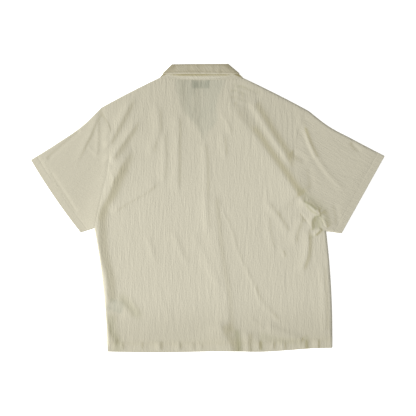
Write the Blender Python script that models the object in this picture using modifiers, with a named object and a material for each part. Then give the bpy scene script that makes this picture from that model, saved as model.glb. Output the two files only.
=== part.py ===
"""Short-sleeved shirt with an open collar, buttoned and laid flat on its front.

The back faces up. +X points to the right of the back view, +Y to the collar and +Z up. The origin lies on the
surface that the shirt rests on, below the middle of its outline. "Left" and "right" are those of the back view,
which are the wearer's own left and right. Every cloth panel is the middle surface of its wall, given its thickness
by Solidify.
"""

import bmesh
import bpy
import numpy as np
from mathutils import Matrix

MM = 0.001

# Cloth and seams
WALL = 1.2 * MM
SEAM_GAP = 0.3 * MM
LAYER = WALL + SEAM_GAP
ON_FLOOR = WALL / 2
OVER_LEAF = ON_FLOOR + LAYER

# Heights of the walls' middle surfaces above the floor
LOFT = 5.5 * MM
HEM_LOFT = 4.2 * MM
HEM_FADE = 40 * MM
RIM = WALL + SEAM_GAP + 0.6 * MM
RIM_OVER_LEAVES = LAYER + 0.6 * MM
ROLL_WIDTH = 6 * MM
NECK_LEVEL = 4.8 * MM
NECK_FADE = 22 * MM
ARMHOLE_BLEND = 0.15
CORNER_CLEARANCE = 0.9 * MM
CORNER_FADE = 10 * MM
EDGE_LIFT = 0.2 * MM

# Outline of the body
HEM = np.array([(-255.5, -365), (-60, -365.5), (125, -365), (215, -358), (317, -356.5)]) * MM
UNDERARM_LEFT = np.array((-289, -52)) * MM
UNDERARM_RIGHT = np.array((301.5, -60)) * MM
SIDE_BOW_LEFT = 6.5 * MM
SIDE_BOW_RIGHT = 5 * MM
ARMHOLE_LEFT = np.array(
    [(-289, -52), (-278, -4), (-267, 45), (-257, 84), (-250, 147), (-252, 208), (-272, 254.5)]
) * MM
ARMHOLE_RIGHT = np.array(
    [(301.5, -60), (272, -3), (241, 57), (228, 109), (225.5, 148), (233, 199), (257, 246.5)]
) * MM
NECK_POINT_LEFT = np.array((-122, 331.5)) * MM
NECK_POINT_RIGHT = np.array((90, 330.5)) * MM
SHOULDER_BOW = 3.4 * MM
NECK_DIP = 3.6 * MM

# Outline of the sleeves
CUFF_END_LEFT = np.array((-323, -63)) * MM
CUFF_END_RIGHT = np.array((340, -65.5)) * MM
SLEEVE_TOP_LEFT = np.array([(-272, 254.5), (-320, 208), (-382, 165), (-450, 122)]) * MM
SLEEVE_TOP_RIGHT = np.array([(257, 246.5), (307, 208), (368, 175), (450, 132)]) * MM

# Neck opening, from the collar's corner down to where the fronts cross
COLLAR_CORNER_LEFT = np.array((-90, 364)) * MM
COLLAR_CORNER_RIGHT = np.array((50.5, 365)) * MM
BREAK = np.array((-9.5, 175)) * MM
ROLL_LEFT = np.array([(-90, 364), (-77, 313), (-71, 262), (-45, 216), (-9.5, 175)]) * MM
ROLL_RIGHT = np.array([(50.5, 365), (38, 313), (34, 262), (18, 212), (-9.5, 175)]) * MM
GORGE_HEIGHT = 298 * MM
NECKLINE_BOW = 5 * MM
CURVE_SAMPLES = 401

# Fronts' overlap along the buttons
CENTRE_AT_HEM = 20 * MM
OVERLAP_HALF = 15 * MM
OVERLAP_CLEAR = 20 * MM
OVERLAP_END = 35 * MM
OVERLAP_LIFT = LAYER + 0.3 * MM
OVERLAP_FADE = 30 * MM
STRIP = np.array((50, 35, 30, 23, 7, 0)) * MM
BREAK_CLEARANCE = 0.7 * MM
BREAK_EVEN = 12 * MM
BREAK_FADE = 20 * MM

# Collar
FALL_LEVEL = 7.8 * MM
LEAF_LEVEL = ON_FLOOR + 0.05 * MM
SIDE_LIFT = 0.3 * MM
SIDE_CLEARANCE = 1.6 * MM
FRONT_STAND_LEVEL = OVER_LEAF + 0.35 * MM
FALL_SHARE = 0.74
COLLAR_ABOVE_GORGE = 7 * MM
COLLAR_POINT_LEFT = np.array((-152, 277)) * MM
COLLAR_POINT_RIGHT = np.array((115, 276)) * MM
LEAF_MIDDLE_LEFT = np.array((-142, 311)) * MM
LEAF_MIDDLE_RIGHT = np.array((106, 310)) * MM
LEAF_EVEN = 16 * MM
LEAF_FADE = 30 * MM

# Lapels, from the tip to where the fronts cross. The notch is a share of the collar's end from the roll line.
LAPEL_EDGE_LEFT = np.array([(-142, 247), (-104, 210), (-60, 185), (-22, 172)]) * MM
LAPEL_EDGE_RIGHT = np.array([(105, 246), (70, 210), (32, 185), (3, 172)]) * MM
NOTCH_SHARE = 0.42
LAPEL_END = 0.95

# Buttons
BUTTON_COUNT = 5
BUTTON_PITCH = 104 * MM
FIRST_BUTTON_BELOW_BREAK = 16 * MM
BUTTON_RADIUS = 5.7 * MM
BUTTON_THICKNESS = 2.6 * MM
BUTTON_HOLE_RADIUS = 0.85 * MM
BUTTON_HOLE_SPREAD = 1.5 * MM
BUTTON_EVEN = 13 * MM
BUTTON_FADE = 16 * MM
BUTTON_STEPS = 24
HOLE_STEPS = 8
SHARP_ANGLE = np.radians(40)
BESIDE_BUTTON = np.array((-45, -10, 10, 31)) * MM

# Half section of a button from the middle of its plain face to the middle of its rimmed one, as shares of its
# radius and thickness
BUTTON_PROFILE = np.array(
    [(0, 1), (0.79, 1), (0.965, 0.81), (1, 0.54), (0.91, 0.12), (0.81, 0), (0.7, 0), (0.58, 0.23), (0, 0.23)]
)

# Labels
LABEL_THICKNESS = 1 * MM
NECK_LABEL_SIZE = (46 * MM, 20 * MM)
NECK_LABEL_CENTRE = (-17 * MM, 314.5 * MM)
CARE_LABEL_SIZE = (40 * MM, 30 * MM)
CARE_LABEL_CENTRE = (-234 * MM, -250 * MM)
CARE_LABEL_TURN = -0.3

# Largest folds of the back. A fold runs down from x0, y0 to x1, y1 and is bowed to the right at its middle. Left and
# right are the widths of its two flanks, and height is negative for a trough. All are in millimetres.
BACK_FOLDS = (
    # name                 x0    y0    x1    y1   bow  left right height
    ("ridge over front",   -12,  230,   16, -350,   3,   32,   36,  3.0),
    ("right plateau",       60,  270,  268,  -20,   6,   62,    9,  6.0),
    ("right second ridge", 100,  266,  226,   96,   6,   10,    8,  3.6),
    ("right underarm",     240,   20,  300,  -52,  -6,   12,    8,  3.5),
    ("right side fold",    284,  -70,  252, -150,   8,   10,   14,  2.6),
    ("right chest fold",   176,  -10,  214,  -96,   6,   26,   14,  2.2),
    ("left upper ridge",  -150,  262, -226,  176, -14,   14,   14,  2.4),
    ("left middle ridge", -176,  214, -246,  120, -10,   13,   13,  2.6),
    ("left long ridge",   -176,  150, -228, -130, -30,   11,   34,  3.4),
    ("left armhole trough", -226, 116, -282, -70, -16,  12,   15, -2.4),
    ("left side trough",  -278,  -60, -262, -196,   4,   12,   14, -1.8),
    ("left chest ridge",  -104,  270,  -96,   40,  -8,   22,   20,  1.6),
    ("label crumple",     -206, -230, -178, -276,   4,   10,   12,  2.2),
    ("long crease",         38,   -8,  184, -300,  20,    9,   12,  1.5),
    ("waist fold",          56, -120,   30, -330,   4,   16,   20,  1.4),
    ("hem pucker 1",      -226, -318, -232, -372,   0,   14,   12,  2.0),
    ("hem pucker 2",      -152, -326, -150, -372,   0,   16,   12,  1.8),
    ("hem pucker 3",       -70, -330,  -72, -372,   0,   22,   14,  1.6),
    ("hem pucker 4",        62, -290,   52, -372,   4,   34,   14,  3.2),
    ("hem pucker 5",       120, -330,  116, -372,   0,   14,   12,  1.8),
    ("hem pucker 6",       226, -316,  222, -372,   0,   18,   14,  1.8),
)
SLEEVE_FOLDS = (
    # name                 x0    y0    x1    y1   bow  left right height
    ("left crown",        -282,  240, -312,  150,   4,   14,   12,  1.8),
    ("left elbow",        -300,  120, -380,    0,  -8,   30,   34,  1.4),
    ("right crown",        268,  228,  350,   30, -14,   14,   18,  2.0),
    ("right cuff",         330,  150,  400,   60,   4,   26,   30,  1.2),
)
FOLD_COLUMNS = ("name", "x0", "y0", "x1", "y1", "bow", "left", "right", "height")
FOLD_FADE = 0.3

# How finely the panels are divided
SIDE_ROWS = 11
ARMHOLE_ROWS = 12
SHOULDER_COLUMNS = 10
NECK_COLUMNS = 14
NECKLINE_COLUMNS = 5
EDGE_STEPS = np.array((1.5, 4, 8)) * MM
SLEEVE_STATIONS = 9
COLLAR_TURN_STEPS = 4
COLLAR_FOLD_STEPS = 4
COLLAR_FLAT_STEPS = 2
ROLL_ROWS = 8
LAPEL_ROWS = 8
LAPEL_COLUMNS = 3
TIP_ROW = 3
LEAF_POINTS = 8


def eased(value):
    """0 below 0, 1 above 1 and a smooth step between."""
    clipped = np.clip(value, 0, 1)
    return clipped * clipped * (3 - 2 * clipped)


def through(points, at):
    """Points at fractions of the length of a smooth curve through the given ones (a Catmull-Rom spline)."""
    knots = np.concatenate([[0], np.cumsum(np.linalg.norm(np.diff(points, axis=0), axis=1))])
    slopes = np.gradient(points, knots, axis=0)
    where = np.clip(at, 0, 1) * knots[-1]
    index = np.clip(np.searchsorted(knots, where, side="right") - 1, 0, len(knots) - 2)
    step = (knots[index + 1] - knots[index])[:, None]
    t = (where - knots[index])[:, None] / step
    return (
        (1 + 2 * t) * (1 - t) ** 2 * points[index]
        + t * (1 - t) ** 2 * step * slopes[index]
        + t * t * (3 - 2 * t) * points[index + 1]
        + t * t * (t - 1) * step * slopes[index + 1]
    )


def bowed(start, end, bow, at):
    """Points at fractions of a line that bulges to the left of its direction by bow at its middle."""
    along = end - start
    side = np.array((-along[1], along[0])) / np.linalg.norm(along)
    at = np.asarray(at)[:, None]
    return start + at * along + 4 * at * (1 - at) * bow * side


def distance_to(path, x, y):
    """Distance from each point to a path of straight pieces."""
    nearest = np.full(np.shape(x), np.inf)
    for a, b in zip(path[:-1], path[1:]):
        along = b - a
        t = np.clip(((x - a[0]) * along[0] + (y - a[1]) * along[1]) / (along @ along), 0, 1)
        nearest = np.minimum(nearest, np.hypot(x - a[0] - t * along[0], y - a[1] - t * along[1]))
    return nearest


def inside(outline, x, y):
    """Whether each point lies inside a closed outline, by counting the edges that a ray crosses."""
    crossings = np.zeros(np.shape(x), int)
    for a, b in zip(outline, np.roll(outline, -1, axis=0)):
        spans = (a[1] > y) != (b[1] > y)
        rise = b[1] - a[1]
        crossing_x = a[0] + (y - a[1]) * (b[0] - a[0]) / (rise if rise else 1)
        crossings += spans & (x < crossing_x)
    return crossings % 2 == 1


def patch(left, right, bottom, top):
    """Grid of points between four edges (a Coons patch). Rows run from bottom to top, columns from left to right."""
    u_bottom = (bottom[:, 0] - bottom[0, 0]) / (bottom[-1, 0] - bottom[0, 0])
    v_left = (left[:, 1] - left[0, 1]) / (left[-1, 1] - left[0, 1])
    v_right = (right[:, 1] - right[0, 1]) / (right[-1, 1] - right[0, 1])
    u = u_bottom[None, :, None]
    v = (v_left[:, None] * (1 - u_bottom) + v_right[:, None] * u_bottom)[..., None]
    sides = (1 - u) * left[:, None] + u * right[:, None]
    ends = (1 - v) * bottom[None] + v * top[None]
    corners = (1 - v) * ((1 - u) * bottom[0] + u * bottom[-1]) + v * ((1 - u) * top[0] + u * top[-1])
    return sides + ends - corners


def relief(folds, x, y):
    """Height added by a table of folds: two half bells across each fold, faded in and out at its ends."""
    height = np.zeros(np.shape(x))
    for row in folds:
        fold = dict(zip(FOLD_COLUMNS, row))
        start = np.array((fold["x0"], fold["y0"])) * MM
        along = np.array((fold["x1"], fold["y1"])) * MM - start
        length = np.linalg.norm(along)
        along = along / length
        t = ((x - start[0]) * along[0] + (y - start[1]) * along[1]) / length
        across = -(x - start[0]) * along[1] + (y - start[1]) * along[0]
        middle = np.clip(t, 0, 1)
        across = across - 4 * middle * (1 - middle) * fold["bow"] * MM
        width = np.where(across < 0, fold["left"], fold["right"]) * MM
        fade = eased(t / FOLD_FADE + FOLD_FADE) * eased((1 - t) / FOLD_FADE + FOLD_FADE)
        height += fold["height"] * MM * fade * np.exp(-((across / width) ** 2))
    return height


def centre_line(y):
    """X of the line of buttons at each height."""
    return BREAK[0] + (CENTRE_AT_HEM - BREAK[0]) * (BREAK[1] - y) / (BREAK[1] - HEM[0, 1])


def button_heights():
    """Y of each button, from the neck opening down."""
    return [BREAK[1] - FIRST_BUTTON_BELOW_BREAK - number * BUTTON_PITCH for number in range(BUTTON_COUNT)]


def body_rows():
    """Fractions of the side seam and of the armhole at which the body has its rows."""
    side = np.linspace(0, 1, SIDE_ROWS + 1)
    extra = EDGE_STEPS / np.linalg.norm(np.diff(ARMHOLE_LEFT, axis=0), axis=1).sum()
    plain = np.linspace(0, 1, ARMHOLE_ROWS + 1)[1:-1]
    armhole = np.concatenate([[0], extra[1:], plain, 1 - extra[::-1], [1]])
    return side, armhole


def body_edge(hem_corner, underarm, bow, armhole):
    """A side of the body from hem to shoulder tip, and the row of the underarm."""
    side_at, armhole_at = body_rows()
    side = bowed(hem_corner, underarm, bow, side_at)
    return np.concatenate([side[:-1], through(armhole, armhole_at)]), SIDE_ROWS


def shoulder(tip, neck, bow):
    """A shoulder line from its tip to the neck point, with closer points at the tip."""
    length = np.linalg.norm(neck - tip)
    at = np.concatenate([[0], EDGE_STEPS / length, np.linspace(0, 1, SHOULDER_COLUMNS + 1)[1:]])
    return bowed(tip, neck, bow, at)


def neck_curve():
    """The back neck seam from left to right."""
    return bowed(NECK_POINT_LEFT, NECK_POINT_RIGHT, -NECK_DIP, np.linspace(0, 1, NECK_COLUMNS + 1))


def back_top():
    """Top edge of the back: left shoulder, neck seam and right shoulder."""
    left = shoulder(ARMHOLE_LEFT[-1], NECK_POINT_LEFT, SHOULDER_BOW)
    right = shoulder(ARMHOLE_RIGHT[-1], NECK_POINT_RIGHT, -SHOULDER_BOW)[::-1]
    return np.concatenate([left, neck_curve()[1:-1], right])


LEFT_EDGE, UNDERARM_ROW = body_edge(HEM[0], UNDERARM_LEFT, -SIDE_BOW_LEFT, ARMHOLE_LEFT)
RIGHT_EDGE, _ = body_edge(HEM[-1], UNDERARM_RIGHT, -SIDE_BOW_RIGHT, ARMHOLE_RIGHT)
TOP_EDGE = back_top()
NECK_SEAM = neck_curve()
ROLLED_EDGES = (
    LEFT_EDGE[: UNDERARM_ROW + 1],
    RIGHT_EDGE[: UNDERARM_ROW + 1],
    shoulder(ARMHOLE_LEFT[-1], NECK_POINT_LEFT, SHOULDER_BOW),
    shoulder(ARMHOLE_RIGHT[-1], NECK_POINT_RIGHT, -SHOULDER_BOW),
)


def at_height(roll, height):
    """Where a roll line passes a height, as a point and as a fraction of the line."""
    at = np.linspace(0, 1, CURVE_SAMPLES)
    points = through(roll, at)
    nearest = np.argmin(np.abs(points[:, 1] - height))
    return points[nearest], at[nearest]


def gorge(roll):
    """Where the front neck seam ends on the roll line."""
    return at_height(roll, GORGE_HEIGHT)


def collar_end(roll):
    """Where the collar ends on the roll line, a little above the gorge."""
    return at_height(roll, GORGE_HEIGHT + COLLAR_ABOVE_GORGE)


def neckline(neck_point, roll):
    """Front neck seam from the neck point to the gorge."""
    end, _ = gorge(roll)
    bow = -NECKLINE_BOW if end[0] < BREAK[0] else NECKLINE_BOW
    return bowed(neck_point, end, bow, np.linspace(0, 1, NECKLINE_COLUMNS + 1))


def leaf_outline(neck_point, corner, roll, middle, point, lapel_edge):
    """Outline of the collar leaf and lapel that lie under one front."""
    _, at = gorge(roll)
    roll_line = through(roll, np.linspace(at, 1, LEAF_POINTS))
    return np.concatenate([[corner, neck_point, middle, point], lapel_edge, roll_line[::-1]])


LEAVES = (
    leaf_outline(
        NECK_POINT_LEFT, COLLAR_CORNER_LEFT, ROLL_LEFT, LEAF_MIDDLE_LEFT, COLLAR_POINT_LEFT, LAPEL_EDGE_LEFT
    ),
    leaf_outline(
        NECK_POINT_RIGHT, COLLAR_CORNER_RIGHT, ROLL_RIGHT, LEAF_MIDDLE_RIGHT, COLLAR_POINT_RIGHT, LAPEL_EDGE_RIGHT
    ),
)


def over_leaves(x, y):
    """1 over a collar leaf or lapel, fading to 0 further out."""
    share = np.zeros(np.shape(x))
    for outline in LEAVES:
        apart = distance_to(np.concatenate([outline, outline[:1]]), x, y)
        apart = np.where(inside(outline, x, y), 0, apart)
        share = np.maximum(share, 1 - eased((apart - LEAF_EVEN) / LEAF_FADE))
    return share


def over_buttons(x, y):
    """1 over a button, fading to 0 around it."""
    share = np.zeros(np.shape(x))
    for height in button_heights():
        apart = np.hypot(x - centre_line(height), y - height)
        share = np.maximum(share, 1 - eased((apart - BUTTON_EVEN) / BUTTON_FADE))
    return share


def lower_front_level(x, y):
    """Height of the left front, which lies on the floor, on the leaves or on a button."""
    leaf = ON_FLOOR + LAYER * over_leaves(x, y)
    button = ON_FLOOR + (BUTTON_THICKNESS + SEAM_GAP) * over_buttons(x, y)
    return np.maximum(leaf, button)


def upper_front_level(x, y):
    """Height of the right front, which steps up over the left front's edge."""
    offset = x - centre_line(y)
    step = 1 - eased((offset - OVERLAP_CLEAR) / (OVERLAP_END - OVERLAP_CLEAR))
    below_break = 1 - eased((y - BREAK[1] - BREAK_EVEN) / OVERLAP_FADE)
    from_break = np.hypot(x - BREAK[0], y - BREAK[1])
    at_break = BREAK_CLEARANCE * (1 - eased((from_break - BREAK_EVEN) / BREAK_FADE))
    return lower_front_level(x, y) + OVERLAP_LIFT * step * below_break + at_break


def rolled(loft, rim, apart):
    """Height of a panel that rolls down to its rim over a quarter of an ellipse."""
    reach = np.clip(apart / ROLL_WIDTH, 0, 1)
    return rim + (loft - rim) * np.sqrt(1 - (1 - reach) ** 2)


def back_level(x, y):
    """Height of the back: loft, folds, the even neck seam and the rolled sides and shoulders."""
    hem = eased((y - HEM[0, 1]) / HEM_FADE)
    loft = HEM_LOFT + (LOFT - HEM_LOFT) * hem + relief(BACK_FOLDS, x, y)
    neck = eased(distance_to(NECK_SEAM, x, y) / NECK_FADE)
    loft = NECK_LEVEL + (loft - NECK_LEVEL) * neck
    apart = np.min([distance_to(edge, x, y) for edge in ROLLED_EDGES], axis=0)
    return rolled(loft, RIM + RIM_OVER_LEAVES * over_leaves(x, y), apart)


def clear_scene():
    """Removes whatever the scene holds."""
    for existing in list(bpy.data.objects):
        bpy.data.objects.remove(existing)


def new_collection(name):
    collection = bpy.data.collections.new(name)
    bpy.context.scene.collection.children.link(collection)
    return collection


def new_material(name, colour, roughness):
    """A plain opaque material."""
    material = bpy.data.materials.new(name)
    material.use_nodes = True
    shader = material.node_tree.nodes["Principled BSDF"]
    shader.inputs["Base Color"].default_value = (*colour, 1)
    shader.inputs["Roughness"].default_value = roughness
    shader.inputs["Metallic"].default_value = 0
    return material


def add_object(collection, name, mesh, material):
    mesh.materials.clear()
    mesh.materials.append(material)
    placed = bpy.data.objects.new(name, mesh)
    collection.objects.link(placed)
    return placed


def grid_mesh(name, grid, ring):
    """A mesh of four-sided faces on a grid of points, closed round its second direction for a ring."""
    rows, columns = grid.shape[:2]
    mesh = bpy.data.meshes.new(name)
    surface = bmesh.new()
    vertices = [surface.verts.new(point) for point in grid.reshape(-1, 3)]
    for row in range(rows - 1):
        for column in range(columns if ring else columns - 1):
            beside = (column + 1) % columns
            corners = (
                row * columns + column,
                row * columns + beside,
                (row + 1) * columns + beside,
                (row + 1) * columns + column,
            )
            surface.faces.new([vertices[corner] for corner in corners])
    bmesh.ops.recalc_face_normals(surface, faces=surface.faces)
    surface.to_mesh(mesh)
    surface.free()
    mesh.shade_smooth()
    return mesh


def add_cloth(collection, name, grid, material, ring=False, thickness=WALL):
    """A panel: its middle surface with half the wall's thickness on each side."""
    panel = add_object(collection, name, grid_mesh(name, grid, ring), material)
    wall = panel.modifiers.new("wall", "SOLIDIFY")
    wall.thickness = thickness
    wall.offset = 0
    wall.use_even_offset = True
    return panel


def with_level(points, level):
    return np.concatenate([points, np.asarray(level)[..., None]], axis=-1)


def add_back(collection, material):
    columns = (TOP_EDGE[:, 0] - TOP_EDGE[0, 0]) / (TOP_EDGE[-1, 0] - TOP_EDGE[0, 0])
    points = patch(LEFT_EDGE, RIGHT_EDGE, through(HEM, columns), TOP_EDGE)
    level = back_level(points[..., 0], points[..., 1])
    add_cloth(collection, "back", with_level(points, level), material)


def centre_rows():
    """Heights of the fronts' rows below the break: two beside every button and two between buttons."""
    rows = np.concatenate([button + BESIDE_BUTTON for button in button_heights()[::-1]])
    return np.concatenate([[HEM[2, 1]], rows[:-1]])


def centre_edge(side, roll):
    """Front edge from the hem to the break and up the roll line to the gorge."""
    heights = centre_rows()
    straight = np.stack([centre_line(heights) + side * OVERLAP_HALF, heights], axis=1)
    _, at = gorge(roll)
    return np.concatenate([straight, through(roll, np.linspace(1, at, ROLL_ROWS + 1))])


def add_front(collection, name, side, material):
    """One front. side is 1 for the left front, whose edge lies right of the buttons, and -1 for the right one."""
    if side > 0:
        outer, neck, roll, level = LEFT_EDGE, NECK_POINT_LEFT, ROLL_LEFT, lower_front_level
        shoulder_line = shoulder(ARMHOLE_LEFT[-1], neck, SHOULDER_BOW)
    else:
        outer, neck, roll, level = RIGHT_EDGE, NECK_POINT_RIGHT, ROLL_RIGHT, upper_front_level
        shoulder_line = shoulder(ARMHOLE_RIGHT[-1], neck, -SHOULDER_BOW)
    inner = centre_edge(side, roll)
    shoulder_line = shoulder_line[[0, *range(len(EDGE_STEPS) + 2, len(shoulder_line), 2)]]
    top = np.concatenate([shoulder_line, neckline(neck, roll)[1:]])
    width = abs(inner[0, 0] - outer[0, 0])
    plain = np.linspace(0, 1 - STRIP[0] / width, len(shoulder_line))
    columns = np.concatenate([plain, 1 - STRIP[1:] / width])
    x = outer[0, 0] + (inner[0, 0] - outer[0, 0]) * columns
    across_hem = (x - HEM[0, 0]) / (HEM[-1, 0] - HEM[0, 0])
    bottom = np.stack([x, through(HEM, across_hem)[:, 1]], axis=1)
    inner[0] = bottom[-1]
    points = patch(outer, inner, bottom, top)
    straight_rows = len(centre_rows())
    points[1:straight_rows, -len(STRIP):, 1] = inner[1:straight_rows, None, 1]
    points[1:straight_rows, -len(STRIP):, 0] = inner[1:straight_rows, None, 0] - side * STRIP
    add_cloth(collection, name, with_level(points, level(points[..., 0], points[..., 1])), material)


def add_sleeve(collection, name, body_edge_points, top_curve, cuff_end, material):
    """A flattened tube from the armhole to the cuff: the upper layer, then the lower layer on the floor."""
    armhole = body_edge_points[UNDERARM_ROW:].copy()
    armhole_level = back_level(armhole[:, 0], armhole[:, 1])
    from_ends = np.minimum(*(np.hypot(*(armhole - armhole[end]).T) for end in (0, -1)))
    apart = SEAM_GAP + CORNER_CLEARANCE * (1 - eased(from_ends / CORNER_FADE))
    armhole[:, 0] += np.sign(armhole[:, 0]) * apart
    top_curve = np.concatenate([armhole[-1:], top_curve[1:]])
    steps = np.linalg.norm(np.diff(armhole, axis=0), axis=1)
    along_cuff = np.concatenate([[0], np.cumsum(steps)]) / steps.sum()
    cuff = bowed(cuff_end, top_curve[-1], 0, along_cuff)
    stations = np.linspace(0, 1, SLEEVE_STATIONS + 1)
    seam = bowed(armhole[0], cuff_end, 0, stations)
    fold = through(top_curve, stations)
    points = patch(armhole, cuff, seam, fold)
    x, y = points[..., 0], points[..., 1]
    from_cuff = distance_to(np.array([cuff_end, top_curve[-1]]), x, y)
    loft = HEM_LOFT + (LOFT - HEM_LOFT) * eased(from_cuff / HEM_FADE) + relief(SLEEVE_FOLDS, x, y)
    apart = np.minimum(distance_to(seam, x, y), distance_to(fold, x, y))
    own_level = rolled(loft, RIM, apart)
    share = eased(stations / ARMHOLE_BLEND)
    upper_level = armhole_level[:, None] * (1 - share) + own_level * share
    upper = with_level(points, upper_level)
    lower_level = np.full(x.shape, ON_FLOOR)
    lower_level[[0, -1]] += EDGE_LIFT
    lower = with_level(points, lower_level)
    ring = np.concatenate([upper, lower[::-1]]).transpose(1, 0, 2)
    add_cloth(collection, name, ring, material, ring=True)


def collar_half(neck_point, corner, roll, middle, point):
    """Neck seam, roll line and outer edge of the collar's front half, from the gorge up to its folded side."""
    _, start = collar_end(roll)
    seam = neckline(neck_point, roll)[::-1] + np.array((0, SEAM_GAP))
    seam[-1] = neck_point + unit(corner - neck_point) * SIDE_CLEARANCE
    rolled_line = through(roll, np.linspace(start, 0, NECKLINE_COLUMNS + 1))
    rolled_line[-1] = corner
    fold_end = corner + (seam[-1] - corner) * FALL_SHARE
    outer = through(np.array([point, middle, fold_end]), np.linspace(0, 1, NECKLINE_COLUMNS + 1))
    return seam, rolled_line, outer


def unit(vectors):
    return vectors / np.linalg.norm(vectors, axis=-1, keepdims=True)


def collar_sections():
    """Seam point, roll point, outer point and turn of every section from one front end to the other. The turn is 0
    on the back, half a circle on the fronts and between them at the folded sides."""
    left = collar_half(
        NECK_POINT_LEFT, COLLAR_CORNER_LEFT, ROLL_LEFT, LEAF_MIDDLE_LEFT, COLLAR_POINT_LEFT
    )
    right = collar_half(
        NECK_POINT_RIGHT, COLLAR_CORNER_RIGHT, ROLL_RIGHT, LEAF_MIDDLE_RIGHT, COLLAR_POINT_RIGHT
    )
    turn = np.linspace(0, np.pi, COLLAR_TURN_STEPS + 1)[1:-1]
    back_seam = NECK_SEAM + np.array((0, SEAM_GAP))
    back_seam[[0, -1]] = left[0][-1], right[0][-1]
    across = np.linspace(0, 1, NECK_COLUMNS + 1)
    middles = (back_seam, bowed(left[1][-1], right[1][-1], 0, across), bowed(left[2][-1], right[2][-1], 0, across))
    lines = []
    for left_line, middle_line, right_line in zip(left, middles, right):
        left_side = np.repeat(left_line[-1:], len(turn), axis=0)
        right_side = np.repeat(right_line[-1:], len(turn), axis=0)
        lines.append(np.concatenate([left_line, left_side, middle_line, right_side, right_line[::-1]]))
    front = np.full(NECKLINE_COLUMNS + 1, np.pi)
    turns = np.concatenate([front, turn[::-1], np.zeros(NECK_COLUMNS + 1), turn, front])
    sides = np.where(np.arange(len(turns)) < len(turns) // 2, -1, 1)
    return (*lines, turns, sides)


def add_collar(collection, material):
    """The collar: the stand from the neck seam, the fold along its top and the fall, lofted from end to end."""
    seam, roll, outer, turns, sides = collar_sections()
    along_side = unit(COLLAR_CORNER_RIGHT - NECK_POINT_RIGHT)
    outward = np.stack([sides * along_side[1], np.full(len(sides), -along_side[0])], axis=1)

    at_side = (np.abs(np.diff(turns, prepend=turns[0])) + np.abs(np.diff(turns, append=turns[-1]))) > 0

    def placed(points, high, low):
        low = low + SIDE_LIFT * at_side
        radius = (high - low) / 2
        plan = points + (radius * np.sin(turns))[:, None] * outward
        return with_level(plan, (high + low) / 2 + radius * np.cos(turns))

    stand_seam = placed(seam, NECK_LEVEL, FRONT_STAND_LEVEL)
    stand_top = placed(roll, NECK_LEVEL, FRONT_STAND_LEVEL)
    fall_top = placed(roll, FALL_LEVEL, LEAF_LEVEL)
    fall_edge = placed(outer, FALL_LEVEL, LEAF_LEVEL)
    bulge = unit(unit(roll - seam) - unit(outer - roll))
    half = (fall_top - stand_top) / 2
    radius = np.linalg.norm(half, axis=1, keepdims=True)
    rows = [stand_seam + (stand_top - stand_seam) * at for at in np.linspace(0, 1, COLLAR_FLAT_STEPS + 1)[:-1]]
    for angle in np.linspace(0, np.pi, COLLAR_FOLD_STEPS + 1):
        bulged = with_level(bulge, np.zeros(len(bulge))) * radius * np.sin(angle)
        rows.append((stand_top + fall_top) / 2 - half * np.cos(angle) + bulged)
    rows += [fall_top + (fall_edge - fall_top) * at for at in np.linspace(0, 1, COLLAR_FLAT_STEPS + 1)[1:]]
    add_cloth(collection, "collar", np.stack(rows), material)


def add_lapel(collection, name, roll, lapel_edge, collar_point, material):
    """The turned-back corner of a front: from the roll line to the lapel's edge, below the collar's end."""
    end, _ = collar_end(roll)
    below_collar = np.array((0, -2 * LAYER))
    _, start = at_height(roll, end[1] + below_collar[1])
    inner = through(roll, np.linspace(start, LAPEL_END, LAPEL_ROWS + 1))
    notch = end + (collar_point - end) * NOTCH_SHARE + below_collar
    short_side = bowed(notch, lapel_edge[0], 0, np.linspace(0, 1, TIP_ROW + 1))
    long_side = through(lapel_edge, np.linspace(0, 1, LAPEL_ROWS - TIP_ROW + 1))
    outer = np.concatenate([short_side, long_side[1:]])
    across = np.linspace(0, 1, LAPEL_COLUMNS + 1)[None, :, None]
    points = inner[:, None] * (1 - across) + outer[:, None] * across
    add_cloth(collection, name, with_level(points, np.full(points.shape[:2], ON_FLOOR)), material)


def cylinder(name, radius, height, place, steps):
    """A closed cylinder with its axis upright, as a mesh object."""
    bpy.ops.mesh.primitive_cylinder_add(vertices=steps, radius=radius, depth=height, location=place)
    made = bpy.context.object
    made.name = name
    return made


def button_mesh(cutters):
    """A turned four-hole button with its rimmed face down at height 0, made once for all buttons."""
    profile = BUTTON_PROFILE * (BUTTON_RADIUS, BUTTON_THICKNESS)
    mesh = bpy.data.meshes.new("button profile")
    vertices = [(radius, 0, height) for radius, height in profile]
    mesh.from_pydata(vertices, [(index, index + 1) for index in range(len(vertices) - 1)], [])
    turned = bpy.data.objects.new("button profile", mesh)
    bpy.context.scene.collection.objects.link(turned)
    screw = turned.modifiers.new("turn", "SCREW")
    screw.steps = BUTTON_STEPS
    screw.render_steps = BUTTON_STEPS
    screw.use_merge_vertices = True
    screw.merge_threshold = 0.01 * MM
    for number in range(4):
        angle = np.pi / 4 + number * np.pi / 2
        place = (BUTTON_HOLE_SPREAD * np.cos(angle), BUTTON_HOLE_SPREAD * np.sin(angle), BUTTON_THICKNESS / 2)
        hole = cylinder(f"hole_{number + 1}", BUTTON_HOLE_RADIUS, 2 * BUTTON_THICKNESS, place, HOLE_STEPS)
        for holder in list(hole.users_collection):
            holder.objects.unlink(hole)
        cutters.objects.link(hole)
        hole.hide_render = True
        hole.display_type = "WIRE"
        cut = turned.modifiers.new(f"hole {number + 1}", "BOOLEAN")
        cut.operation = "DIFFERENCE"
        cut.object = hole
    bpy.context.view_layer.update()
    finished = bpy.data.meshes.new_from_object(turned.evaluated_get(bpy.context.evaluated_depsgraph_get()))
    finished.name = "button"
    bpy.data.objects.remove(turned)
    finished.shade_smooth()
    finished.set_sharp_from_angle(angle=SHARP_ANGLE)
    return finished


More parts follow.
